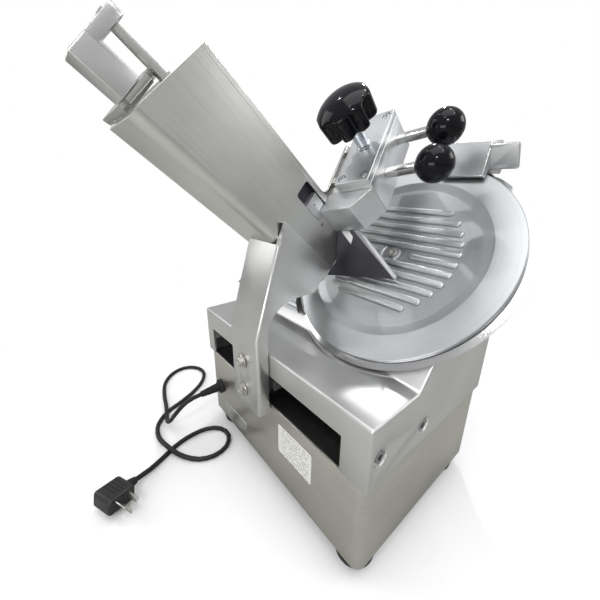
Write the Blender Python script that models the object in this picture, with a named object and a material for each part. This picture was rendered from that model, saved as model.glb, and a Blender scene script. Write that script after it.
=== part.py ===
"""Automatic slicer for frozen meat rolls: a slanted round blade, a gauge plate and a powered chute carriage.

Metres, +Z up, +X to the right along the front wall, +Y to the back. The blade leans back by TILT, and
everything that follows the blade is placed in the slope frame: x across, y up the slope, z off the blade.
"""
import math

import bmesh
import bpy
from mathutils import Matrix, Vector

# Shared sizes
GAP = 0.0003
OVERRUN = 0.004
ROUND_SIDES = 40
SMALL_SIDES = 20
TILT = math.radians(49.5)
CLAMP_TURN = math.radians(12.0)

# Feet, base cabinet and bottom plate
FOOT_HEIGHT = 0.025
FOOT_RADIUS = 0.026
FOOT_TAPER = 0.003
FOOT_INSET_X = 0.028
FOOT_INSET_Y = 0.030
BASE_WIDTH = 0.340
BASE_DEPTH = 0.252
BASE_HEIGHT = 0.1177
BASE_WALL = 0.0015
BASE_CORNER = 0.012
BOTTOM_PLATE = 0.0025

# Upper housing
HOUSING_OVERHANG = 0.002
HOUSING_WALL = 0.004
HOUSING_EDGE = 0.003
DECK_RISE = 0.0743
DECK_THICKNESS = 0.017
TOWER_GAP = 0.0162
TOWER_WALL = 0.006
TOWER_TOP_V = 0.030
TOWER_CHAMFER_SHARE = 0.381
SLOT_LEFT_MARGIN = 0.020
SLOT_RIGHT_MARGIN = 0.033
SLOT_HEIGHT = 0.0437
DRUM_RADIUS = 0.128
DRUM_THICKNESS = 0.012
DRUM_PROUD = 0.0005
REAR_OPENING_WIDTH = 0.240
REAR_OPENING_SILL = 0.022
REAR_OPENING_HEIGHT = 0.120
REAR_COVER_LAP = 0.012
REAR_COVER_THICKNESS = 0.0015

# Blade set, in the slope frame about the blade axis
BLADE_CENTRE = Vector((0.0693, 0.156, 0.334))
BLADE_RADIUS = 0.150
BLADE_TOP = -0.0078
BLADE_THICKNESS = 0.002
BLADE_BEVEL = 0.009
BLADE_SWEEP_GAP = 0.006
COVER_RADIUS = 0.1425
COVER_SHEET = 0.002
COVER_RIM = 0.0052
COVER_STEP_OUTER = 0.1123
COVER_STEP_INNER = 0.1014
COVER_RECESS = 0.0032
RIB_COUNT = 11
RIB_PITCH = 0.0134
RIB_WIDTH = 0.0055
RIB_HEIGHT = 0.0014
RIB_SINK = 0.0008
RIB_FIELD_RADIUS = 0.084
STUD_RADIUS = 0.004
STUD_HEAD_RADIUS = 0.0055
STUD_HEAD = 0.003
SPINDLE_RADIUS = 0.012
SPINDLE_BORE = 0.0065
SPINDLE_END = -0.0930
HUB_RADIUS = 0.030
HUB_THICKNESS = 0.004
BEARING_RADIUS = 0.0165
BEARING_WIDTH = 0.011
BEARING_HOUSE_RADIUS = 0.026
BEARING_HOUSE_LENGTH = 0.038
BEARING_FLANGE_HALF_U = 0.058
BEARING_FLANGE_HALF_V = 0.031
BEARING_FLANGE = 0.005
PULLEY_LARGE = 0.040
PULLEY_SMALL = 0.014
PULLEY_WIDTH = 0.012
PULLEY_FRONT = -0.0720
BELT_THICKNESS = 0.0025
BELT_WIDTH = 0.009
MOTOR_OFFSET = 0.085
MOTOR_RADIUS = 0.036
MOTOR_LENGTH = 0.072
MOTOR_SHAFT = 0.0055
MOTOR_PLATE_FRONT = -0.0868
MOTOR_PLATE = 0.003
MOTOR_PLATE_HALF = 0.046
MOTOR_PLATE_LOW = -0.126
MOTOR_PLATE_HIGH = -0.048
STUD_STRAP_U = 0.050
STUD_STRAP_POST = 0.0035
STUD_STRAP_BACK = -0.0985
STUD_STRAP = 0.004
STUD_STRAP_WIDTH = 0.014

# Gauge plate and its dial
GAUGE_TOP = -0.0010
GAUGE_THICKNESS = 0.0060
GAUGE_RIDGE = 0.0012
GAUGE_RIDGE_PITCH = 0.008
GAUGE_LEFT = -0.2340
GAUGE_LOW = -0.124
GAUGE_HIGH = 0.044
GAUGE_TONGUE_LEFT = -0.270
GAUGE_TONGUE_HIGH = -0.094
GAUGE_BLADE_GAP = 0.005
GAUGE_POST_RADIUS = 0.008
GAUGE_POST_END = -0.075
GAUGE_POST_U = -0.190
GAUGE_POST_LOW_V = -0.072
GAUGE_POST_HIGH_V = 0.008
GAUGE_BUSH_RADIUS = 0.014
GAUGE_BUSH_END = -0.060
DIAL_Y = 0.200
DIAL_Z = 0.215
DIAL_RADIUS = 0.028
DIAL_DEPTH = 0.020
DIAL_SHAFT_RADIUS = 0.006
DIAL_SHAFT_LENGTH = 0.050
DIAL_CAM_RADIUS = 0.018
DIAL_CAM_WIDTH = 0.008
DIAL_LOBES = 12
DIAL_GRIP = 0.0012

# Switches on the left wall
SWITCH_Y = 0.080
SWITCH_Z = 0.178
SWITCH_PLATE_WIDTH = 0.062
SWITCH_PLATE_HEIGHT = 0.034
SWITCH_PLATE_DEPTH = 0.003
BUTTON_SPACING = 0.030
BUTTON_RADIUS = 0.009
BUTTON_PROUD = 0.005
BUTTON_STEM = 0.0055

# Drive of the carriage
RAIL_RADIUS = 0.006
RAIL_FRONT_Y = 0.016
RAIL_FRONT_Z = 0.178
RAIL_REAR_Y = 0.094
RAIL_REAR_Z = 0.168
RAIL_BOSS = 0.0174
RAIL_BOSS_HALF = 0.011
SLIDER_HALF = 0.030
SLIDER_LOW = 0.1585
SLIDER_HIGH = 0.190
SLIDER_FRONT = 0.0085
SLIDER_BACK = 0.106
SHELF_TOP = 0.136
SHELF = 0.003
SHELF_DEPTH = 0.126
CHAIN_CENTRE_Y = 0.055
CHAIN_END_MARGIN = 0.045
CHAIN_LOW = 0.146
CHAIN_HEIGHT = 0.006
CHAIN_THICKNESS = 0.004
SPROCKET_RADIUS = 0.016
SPROCKET_TEETH = 14
SPROCKET_TOOTH = 0.0014
SPROCKET_SHAFT = 0.005
DOG_HALF = 0.007
DOG_WALL = 0.004
DOG_DROP = 0.0135
GEARMOTOR_WIDTH = 0.070
GEARMOTOR_DEPTH = 0.084
GEARMOTOR_HEIGHT = 0.034
GEARMOTOR_CAN_RADIUS = 0.026
GEARMOTOR_CAN_LENGTH = 0.060

# Bolts in the right wall
WALL_BOLT_HOLE = 0.0105
WALL_BOLT_HEAD = 0.0068
WALL_BOLT_HEIGHT = 0.0030

# Carriage arm and bracket
ARM_LEFT = -0.047
ARM_RIGHT = 0.015
ARM_FRONT = -0.0170
ARM_BACK = -0.0076
ARM_SKIRT = -0.0012
ARM_FOOT = 0.131
ARM_KINK = 0.2397
ARM_CHEEK = 0.0050
ARM_CRADLE_V = -0.0787
ARM_CHEEK_V = -0.0526
ARM_LOW_V = -0.0941
ARM_FRONT_W = 0.1169
ARM_CHEEK_FRONT_W = 0.1285
ARM_END_W = 0.0290
BRACKET_BACK = -0.0015
BRACKET_FOOT = 0.133
BRACKET_TOP = 0.214
BRACKET_HALF = 0.029
TONGUE_HALF = 0.020
TONGUE_LOW = 0.150
TONGUE_HIGH = 0.182
ARM_BOLT_X = -0.0215
ARM_BOLT_HIGH = 0.197
ARM_BOLT_LOW = 0.154
ARM_BOLT_HEAD = 0.0068
ARM_BOLT_HEIGHT = 0.0050
ARM_WASHER = 0.0095
ARM_WASHER_THICKNESS = 0.0015

# Chute, in the slope frame
CHUTE_SHEET = 0.0015
CHUTE_LEFT = -0.1523
CHUTE_RIGHT = -0.0596
CHUTE_FLOOR = -0.0784
CHUTE_HEM = 0.0108
CHUTE_TOP_W = 0.2887
CHUTE_HEM_TOP_W = 0.2804
CHUTE_LOW_W = 0.0195
CHUTE_HEM_LOW_W = 0.088
CHUTE_LOW_V = -0.012
CHUTE_BEND = 0.011
CHUTE_HEM_FOLD = 0.0028
CHUTE_HEM_DEPTH = 0.005
HEM_BLOCK_LOW_V = -0.0190
HEM_BLOCK_HIGH_V = 0.0035
HEM_BLOCK_LOW_W = 0.0795
HEM_BLOCK_TOP_W = 0.120
HEM_BLOCK_DEPTH = 0.0082
HEM_WINDOW_RISE = 0.008

# Pusher and its rod, in the slope frame
ROD_SIZE = 0.007
ROD_U = -0.0673
ROD_V = -0.0340
ROD_TOP_STICKOUT = 0.0015
ROD_LOW_W = 0.040
ROD_MOUNT_LENGTH = 0.035
ROD_MOUNT_LOW = 0.003
ROD_MOUNT_HEIGHT = 0.016
PUSHER_LEFT = -0.0868
PUSHER_RIGHT = -0.0620
PUSHER_LOW = -0.0720
PUSHER_HIGH = -0.0500
PUSHER_RISE = 0.0085
PUSHER_LENGTH = 0.0378
PUSHER_HEAD = 0.0095
PUSHER_HEAD_V = -0.0235
PUSHER_SLEEVE = 0.0030
PUSHER_EDGE = 0.0015
FOOT_PLATE_SHEET = 0.003
FOOT_PLATE_HIGH_V = -0.026
FOOT_PLATE_GAP = 0.0015
FOOT_TOOTH_PITCH = 0.006
FOOT_TOOTH = 0.0045

# Clamp unit, in the clamp frame: turned by CLAMP_TURN about the blade axis
CLAMP_LEFT = -0.0402
CLAMP_RIGHT = 0.0049
CLAMP_LOW = 0.0279
CLAMP_HIGH = 0.1365
CLAMP_BOTTOM_W = 0.0467
CLAMP_SPLIT_W = 0.0938
CLAMP_TOP_W = 0.1019
CLAMP_EDGE = 0.0012
BAR_SIZE = 0.009
BAR_CENTRE_W = 0.0743
BAR_FIRST = 0.062
BAR_SECOND = 0.116
BAR_END = 0.0440
BAR_CLEARANCE = 0.0004
BALL_CENTRE = 0.0601
BALL_RADIUS = 0.020
PRESS_FACE = -0.0736
PRESS_SHEET = 0.0036
PRESS_LOW = 0.0020
PRESS_HIGH = 0.1270
PRESS_LOW_W = 0.0283
PRESS_HIGH_W = 0.1203
KNOB_A = -0.0190
KNOB_B = 0.0841
KNOB_BOTTOM_W = 0.1330
KNOB_HEIGHT = 0.0330
KNOB_RADIUS = 0.0320
KNOB_LOBES = 6
KNOB_WAIST = 0.0245
KNOB_STEM_RADIUS = 0.0125
KNOB_STEM = 0.010
KNOB_SCREW_RADIUS = 0.0050
KNOB_NUT_RADIUS = 0.0085
KNOB_NUT = 0.005
SHOE_LENGTH = 0.066
SHOE_WIDTH = 0.016
SHOE_THICKNESS = 0.005
POCKET_GAP = 0.0010
BRACKET_BLOCK_LOW = 0.0026
BRACKET_BLOCK_RIGHT = -0.0163
BRACKET_BLOCK_TOP_W = 0.0885
GUARD_SHEET = 0.0030
GUARD_TOP_B = 0.0030
GUARD_TOP_RIGHT = -0.0340
GUARD_LOW_RIGHT = 0.0180
GUARD_LOW_LEFT = -0.0800
GUARD_LEFT_W = 0.0185
GUARD_LOW_W = 0.0065

# Sharpener, in the slope frame
SHARP_LEFT = 0.014
SHARP_RIGHT = 0.066
SHARP_FRONT_V = 0.112
SHARP_LEG_V = 0.1535
SHARP_BACK_V = 0.170
SHARP_LOW_W = 0.0015
SHARP_TOP_W = 0.022
SHARP_LEG_W = -0.030
SHARP_WALL = 0.003
SHARP_EDGE = 0.002
SHARP_BLOCK_RIGHT = 0.105
SHARP_BLOCK_HIGH = 0.150
SHARP_BLOCK_TOP_W = 0.020
SHARP_BLOCK_LOW_W = 0.004
STONE_RADIUS = 0.0088
STONE_THICKNESS = 0.008
STONE_V = 0.1560
STONE_LOW_W = -0.0055
STONE_FIRST_U = 0.029
STONE_SECOND_U = 0.051
STONE_PIN_RADIUS = 0.0025
SHARP_BRACKET_LEFT = 0.026
SHARP_BRACKET_RIGHT = 0.054
SHARP_BRACKET_LOW = 0.090
SHARP_BRACKET_THICKNESS = 0.010

# Cord, gland and plug
CORD_RADIUS = 0.0035
CORD_POINTS = 78
GLAND_X = -0.141
GLAND_Z = 0.079
GLAND_FLANGE = 0.012
GLAND_FLANGE_DEPTH = 0.004
GLAND_ROOT = 0.0078
GLAND_TIP = 0.0050
GLAND_LENGTH = 0.036
CORD_ROUTE = (
    (-0.1410, -0.0350, 0.0790), (-0.1410, -0.0480, 0.0785), (-0.1440, -0.0620, 0.0720),
    (-0.1550, -0.0740, 0.0520), (-0.1720, -0.0800, 0.0290), (-0.1940, -0.0800, 0.0130),
    (-0.2180, -0.0740, 0.0113), (-0.2480, -0.0670, 0.0060), (-0.2830, -0.0600, 0.0038),
    (-0.3200, -0.0470, 0.0038), (-0.3450, -0.0230, 0.0038), (-0.3500, 0.0050, 0.0038),
    (-0.3330, 0.0270, 0.0038), (-0.3050, 0.0320, 0.0038), (-0.2780, 0.0180, 0.0038),
    (-0.2560, -0.0080, 0.0038), (-0.2400, -0.0400, 0.0038), (-0.2280, -0.0700, 0.0038),
    (-0.2060, -0.0930, 0.0038), (-0.1750, -0.1010, 0.0060), (-0.1440, -0.0980, 0.0113),
    (-0.1150, -0.0860, 0.0070), (-0.0920, -0.0660, 0.0038), (-0.0820, -0.0420, 0.0038),
    (-0.0880, -0.0190, 0.0038), (-0.1080, -0.0070, 0.0038), (-0.1300, -0.0130, 0.0038),
    (-0.1430, -0.0330, 0.0038), (-0.1450, -0.0590, 0.0038), (-0.1400, -0.0840, 0.0038),
    (-0.1300, -0.1060, 0.0038), (-0.1190, -0.1270, 0.0060), (-0.1120, -0.1410, 0.0100),
    (-0.1080, -0.1500, 0.0120),
)
PLUG_LENGTH = 0.034
PLUG_WIDTH = 0.036
PLUG_HEIGHT = 0.022
PLUG_BEVEL = 0.005
PLUG_NECK = 0.014
PLUG_NECK_ROOT = 0.0075
PLUG_NECK_TIP = 0.0050
PIN_LENGTH = 0.018
PIN_WIDTH = 0.0063
PIN_THICKNESS = 0.0016
PIN_PITCH = 0.0079
PIN_RISE = 0.0050
PIN_SPLAY = math.radians(30.0)
PIN_SINK = 0.002

# Worked out from the sizes above
JUNCTION_Z = FOOT_HEIGHT + BASE_HEIGHT
DECK_Z = JUNCTION_Z + DECK_RISE
HOUSING_WIDTH = BASE_WIDTH + 2 * HOUSING_OVERHANG
HOUSING_DEPTH = BASE_DEPTH + 2 * HOUSING_OVERHANG
HOUSING_LOW = JUNCTION_Z
BASE_TOP = JUNCTION_Z - GAP
INNER_X = HOUSING_WIDTH / 2 - HOUSING_WALL
BLADE_BOTTOM = BLADE_TOP - BLADE_THICKNESS
HUB_TOP = BLADE_BOTTOM - GAP
TOWER_INNER = -TOWER_GAP - TOWER_WALL
DRUM_BACK = -TOWER_GAP - DRUM_THICKNESS
ARM_MIDDLE = (ARM_LEFT + ARM_RIGHT) / 2
CHAIN_Z = CHAIN_LOW + CHAIN_HEIGHT / 2
PRESS_BACK = PRESS_FACE + PRESS_SHEET
SLOT_LEFT = -BASE_WIDTH / 2 + SLOT_LEFT_MARGIN
SLOT_RIGHT = BASE_WIDTH / 2 - SLOT_RIGHT_MARGIN
CHAIN_HALF_SPAN = BASE_WIDTH / 2 - CHAIN_END_MARGIN
PUSHER_BASE_W = CHUTE_TOP_W + PUSHER_RISE
PUSHER_TOP_W = PUSHER_BASE_W + PUSHER_LENGTH
ROD_TOP_W = PUSHER_TOP_W + ROD_TOP_STICKOUT
FOOT_PLATE_LOW_W = PUSHER_BASE_W - GAP - FOOT_PLATE_SHEET - FOOT_TOOTH
CORD_NODES = ("cable_gland", "power_cord", "mains_plug")

MATERIALS = {
    "brushed_steel": ((0.52, 0.51, 0.49), 0.35, 0.95),
    "painted_alloy": ((0.48, 0.48, 0.48), 0.45, 0.35),
    "cover_alloy": ((0.55, 0.57, 0.58), 0.38, 0.70),
    "polished_steel": ((0.66, 0.66, 0.65), 0.20, 1.00),
    "dark_steel": ((0.20, 0.20, 0.21), 0.40, 0.90),
    "black_plastic": ((0.015, 0.015, 0.016), 0.15, 0.00),
    "black_rubber": ((0.02, 0.02, 0.02), 0.70, 0.00),
    "motor_grey": ((0.16, 0.17, 0.18), 0.50, 0.50),
    "stone_grey": ((0.42, 0.40, 0.36), 0.90, 0.00),
    "green_plastic": ((0.03, 0.35, 0.08), 0.35, 0.00),
    "red_plastic": ((0.55, 0.03, 0.02), 0.35, 0.00),
    "brass": ((0.70, 0.52, 0.22), 0.30, 1.00),
}


def clear_scene():
    for obj in list(bpy.data.objects):
        bpy.data.objects.remove(obj, do_unlink=True)


def make_material(name):
    """Each object gets its own copy of one of the finishes."""
    color, roughness, metallic = MATERIALS[name]
    material = bpy.data.materials.new(name)
    material.use_nodes = True
    shader = material.node_tree.nodes["Principled BSDF"]
    shader.inputs["Base Color"].default_value = (*color, 1.0)
    shader.inputs["Roughness"].default_value = roughness
    shader.inputs["Metallic"].default_value = metallic
    return material


def add_empty(name, parent=None, location=(0, 0, 0), rotation=(0, 0, 0)):
    empty = bpy.data.objects.new(name, None)
    empty.parent = parent
    empty.location = location
    empty.rotation_euler = rotation
    bpy.context.collection.objects.link(empty)
    return empty


def finish(bm, name, finish_name, parent, location=(0, 0, 0), rotation=(0, 0, 0)):
    """Turn a bmesh into a named, smooth shaded object under its parent."""
    bmesh.ops.recalc_face_normals(bm, faces=bm.faces)
    mesh = bpy.data.meshes.new(name)
    bm.to_mesh(mesh)
    bm.free()
    mesh.shade_smooth()
    mesh.set_sharp_from_angle(angle=math.radians(35))
    obj = bpy.data.objects.new(name, mesh)
    obj.parent = parent
    obj.location = location
    obj.rotation_euler = rotation
    if finish_name:
        mesh.materials.append(make_material(finish_name))
    bpy.context.collection.objects.link(obj)
    return obj


def combine(target, bm, operation="DIFFERENCE"):
    """Cut a shape out of the target, or join it on, with a hidden wire helper."""
    helper = finish(bm, target.name + "_tool", None, target.parent, target.location, target.rotation_euler)
    helper.hide_render = True
    helper.display_type = "WIRE"
    modifier = target.modifiers.new(operation.title(), "BOOLEAN")
    modifier.operation = operation
    modifier.object = helper
    modifier.solver = "EXACT"
    return helper


def box(low, high, bm=None):
    bm = bm or bmesh.new()
    low, high = Vector(low), Vector(high)
    made = bmesh.ops.create_cube(bm, size=1)["verts"]
    bmesh.ops.scale(bm, vec=high - low, verts=made)
    bmesh.ops.translate(bm, vec=(low + high) / 2, verts=made)
    return bm


def soft_box(low, high, radius, segments=2):
    bm = box(low, high)
    bmesh.ops.bevel(bm, geom=bm.edges[:], offset=radius, segments=segments, profile=0.5, affect="EDGES")
    return bm


AXES = {
    "X": Matrix.Rotation(math.radians(90), 4, "Y"),
    "Y": Matrix.Rotation(math.radians(-90), 4, "X"),
    "Z": Matrix.Identity(4),
}


def rod(start, length, radius, end_radius=None, axis="Z", sides=SMALL_SIDES, bm=None):
    """A round bar or cone from a start point, along the positive axis."""
    bm = bm or bmesh.new()
    end_radius = radius if end_radius is None else end_radius
    place = Matrix.Translation(Vector(start)) @ AXES[axis] @ Matrix.Translation((0, 0, length / 2))
    bmesh.ops.create_cone(bm, cap_ends=True, segments=sides, radius1=radius, radius2=end_radius,
                          depth=length, matrix=place)
    return bm


def prism(points, depth_from, depth_to, place):
    """Extrude a flat outline; place(a, b, depth) gives each corner's position."""
    bm = bmesh.new()
    corners = [bm.verts.new(place(a, b, depth_from)) for a, b in points]
    face = bm.faces.new(corners)
    grown = bmesh.ops.extrude_face_region(bm, geom=[face])["geom"]
    moved = [item for item in grown if isinstance(item, bmesh.types.BMVert)]
    step = Vector(place(0, 0, depth_to)) - Vector(place(0, 0, depth_from))
    bmesh.ops.translate(bm, vec=step, verts=moved)
    return bm


def along_x(a, b, depth):
    return (depth, a, b)


def along_y(a, b, depth):
    return (a, depth, b)


def along_z(a, b, depth):
    return (a, b, depth)


def turned(profile, sides=ROUND_SIDES):
    """Spin a closed outline of (radius, height) points about Z."""
    bm = bmesh.new()
    verts = [bm.verts.new((radius, 0, height)) for radius, height in profile]
    edges = [bm.edges.new((verts[i - 1], verts[i])) for i in range(len(verts))]
    bmesh.ops.spin(bm, geom=verts + edges, cent=(0, 0, 0), axis=(0, 0, 1), angle=2 * math.pi,
                   steps=sides, use_merge=True)
    bmesh.ops.remove_doubles(bm, verts=bm.verts, dist=GAP / 100)
    loose = [edge for edge in bm.edges if not edge.link_faces]
    bmesh.ops.delete(bm, geom=loose, context="EDGES")
    return bm


def washer(outer, inner, low, high, sides=ROUND_SIDES):
    return turned([(inner, low), (outer, low), (outer, high), (inner, high)], sides)


def rounded_outline(half_x, low_y, high_y, radius, steps=6):
    """Corner points of a rectangle with round corners."""
    points = []
    corners = ((half_x, high_y), (-half_x, high_y), (-half_x, low_y), (half_x, low_y))
    for quarter, (x, y) in enumerate(corners):
        centre = (x - math.copysign(radius, x), y - radius if y == high_y else y + radius)
        for step in range(steps + 1):
            angle = math.radians(90) * (quarter + step / steps)
            points.append((centre[0] + radius * math.cos(angle), centre[1] + radius * math.sin(angle)))
    return points


def slope_yz(v, w):
    """World y and z of a point of the slope frame."""
    y = BLADE_CENTRE.y + v * math.cos(TILT) - w * math.sin(TILT)
    z = BLADE_CENTRE.z + v * math.sin(TILT) + w * math.cos(TILT)
    return y, z


def slope_at_height(z, w):
    """How far up the slope, at offset w, a height is reached."""
    return (z - BLADE_CENTRE.z - w * math.cos(TILT)) / math.sin(TILT)


def clamp_to_slope(a, b):
    u = a * math.cos(CLAMP_TURN) - b * math.sin(CLAMP_TURN)
    v = a * math.sin(CLAMP_TURN) + b * math.cos(CLAMP_TURN)
    return u, v


def hexagon(start, height, radius, axis, bm=None):
    return rod(start, height, radius, axis=axis, sides=6, bm=bm)


def build_base(root):
    front = HOUSING_OVERHANG
    back = front + BASE_DEPTH
    half = BASE_WIDTH / 2
    outer = rounded_outline(half, front, back, BASE_CORNER)
    cabinet = finish(prism(outer, FOOT_HEIGHT, BASE_TOP, along_z), "base_cabinet", "brushed_steel", root)
    inner_corner = BASE_CORNER - BASE_WALL
    inner = rounded_outline(half - BASE_WALL, front + BASE_WALL, back - BASE_WALL, inner_corner)
    combine(cabinet, prism(inner, FOOT_HEIGHT - OVERRUN, BASE_TOP + OVERRUN, along_z))

    fit = BASE_WALL + GAP
    plate = rounded_outline(half - fit, front + fit, back - fit, inner_corner)
    finish(prism(plate, FOOT_HEIGHT, FOOT_HEIGHT + BOTTOM_PLATE, along_z), "bottom_plate", "dark_steel",
           root)
    shelf_back = front + SHELF_DEPTH
    shelf = box((-half + fit, front + fit, SHELF_TOP - SHELF), (half - fit, shelf_back, SHELF_TOP))
    corners = [edge for edge in shelf.edges
               if all(vert.co.y < front + BASE_CORNER for vert in edge.verts)
               and abs(edge.verts[0].co.z - edge.verts[1].co.z) > SHELF / 2]
    bmesh.ops.bevel(shelf, geom=corners, offset=BASE_CORNER, segments=4, profile=0.5, affect="EDGES")
    finish(shelf, "drive_shelf", "dark_steel", root)

    for side, x in (("left", -half + FOOT_INSET_X), ("right", half - FOOT_INSET_X)):
        for place, y in (("front", front + FOOT_INSET_Y), ("rear", back - FOOT_INSET_Y)):
            foot = rod((x, y, 0), FOOT_HEIGHT - GAP, FOOT_RADIUS - FOOT_TAPER, FOOT_RADIUS, sides=28)
            finish(foot, "rubber_foot_" + place + "_" + side, "black_rubber", root)


def housing_profile(inset, deck_inset, tower_inset, low):
    """Side outline of the housing, drawn in by its wall thicknesses."""
    deck = DECK_Z - deck_inset
    face = -TOWER_GAP - tower_inset
    kink_y = slope_yz(slope_at_height(deck, face), face)[0]
    crest_z = slope_yz(TOWER_TOP_V, -TOWER_GAP)[1] - inset
    crest_y = slope_yz(slope_at_height(crest_z, face), face)[0]
    back = HOUSING_DEPTH - inset
    chamfer = (HOUSING_DEPTH - slope_yz(TOWER_TOP_V, -TOWER_GAP)[0]) * TOWER_CHAMFER_SHARE
    return [(inset, low), (inset, deck), (kink_y, deck), (crest_y, crest_z),
            (back - chamfer, crest_z), (back, crest_z - chamfer), (back, low)]


def build_housing(root, slope):
    half = HOUSING_WIDTH / 2
    shell = prism(housing_profile(0, 0, 0, HOUSING_LOW), -half, half, along_x)
    rims = [edge for edge in shell.edges if max(vert.co.z for vert in edge.verts) > HOUSING_LOW + GAP]
    bmesh.ops.bevel(shell, geom=rims, offset=HOUSING_EDGE, segments=2, profile=0.5, affect="EDGES")
    housing = finish(shell, "main_housing", "painted_alloy", root)
    combine(housing, prism(housing_profile(HOUSING_WALL, DECK_THICKNESS, TOWER_WALL, HOUSING_LOW - OVERRUN),
                           -INNER_X, INNER_X, along_x))
    combine(housing, box((SLOT_LEFT, -OVERRUN, HOUSING_LOW - OVERRUN),
                         (SLOT_RIGHT, HOUSING_WALL + OVERRUN, HOUSING_LOW + SLOT_HEIGHT)))
    opening_low = HOUSING_LOW + REAR_OPENING_SILL
    combine(housing, box((-REAR_OPENING_WIDTH / 2, HOUSING_DEPTH - HOUSING_WALL - OVERRUN, opening_low),
                         (REAR_OPENING_WIDTH / 2, HOUSING_DEPTH + OVERRUN,
                          opening_low + REAR_OPENING_HEIGHT)))
    bosses = bmesh.new()
    bores = bmesh.new()
    holes = bmesh.new()
    for y, z in ((RAIL_FRONT_Y, RAIL_FRONT_Z), (RAIL_REAR_Y, RAIL_REAR_Z)):
        for side in (-1, 1):
            low, high = sorted((side * (INNER_X + HOUSING_WALL / 2), side * (INNER_X - RAIL_BOSS)))
            box((low, y - RAIL_BOSS_HALF, z - RAIL_BOSS_HALF),
                (high, y + RAIL_BOSS_HALF, z + RAIL_BOSS_HALF),
                bm=bosses)
        rod((-INNER_X, y, z), 2 * INNER_X + OVERRUN / 2, RAIL_RADIUS + GAP, axis="X", bm=bores)
        rod((INNER_X, y, z), HOUSING_WALL + OVERRUN, WALL_BOLT_HOLE, axis="X", sides=28, bm=holes)
    combine(housing, bosses, "UNION")
    combine(housing, bores)
    rod((-half - OVERRUN, DIAL_Y, DIAL_Z), HOUSING_WALL + 2 * OVERRUN, DIAL_SHAFT_RADIUS + GAP, axis="X",
        bm=holes)
    for side in (-BUTTON_SPACING / 2, BUTTON_SPACING / 2):
        rod((-half - OVERRUN, SWITCH_Y + side, SWITCH_Z), HOUSING_WALL + 2 * OVERRUN,
            BUTTON_RADIUS / 2 + GAP, axis="X", bm=holes)
    combine(housing, holes)

    def in_slope(bm):
        bmesh.ops.transform(bm, matrix=slope.matrix_basis, verts=bm.verts)
        return bm

    drum = in_slope(rod((0, 0, DRUM_BACK), OVERRUN - DRUM_BACK - TOWER_GAP, DRUM_RADIUS, sides=64))
    combine(housing, drum, "UNION")
    sweep = in_slope(rod((0, 0, -TOWER_GAP + DRUM_PROUD), BLADE_RADIUS, BLADE_RADIUS + BLADE_SWEEP_GAP,
                         sides=64))
    combine(housing, sweep)
    bore = rod((0, 0, DRUM_BACK - DRUM_THICKNESS), 3 * DRUM_THICKNESS, SPINDLE_RADIUS + OVERRUN / 2)
    for v in (GAUGE_POST_LOW_V, GAUGE_POST_HIGH_V):
        rod((GAUGE_POST_U, v, DRUM_BACK - DRUM_THICKNESS), 3 * DRUM_THICKNESS,
            GAUGE_POST_RADIUS + GAP, bm=bore)
    combine(housing, in_slope(bore))

    lap = REAR_COVER_LAP
    back = HOUSING_DEPTH + GAP
    cover = soft_box((-REAR_OPENING_WIDTH / 2 - lap, back, opening_low - lap),
                     (REAR_OPENING_WIDTH / 2 + lap, back + REAR_COVER_THICKNESS,
                      opening_low + REAR_OPENING_HEIGHT + lap), REAR_COVER_THICKNESS / 4, 1)
    finish(cover, "rear_cover", "brushed_steel", root)


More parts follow.
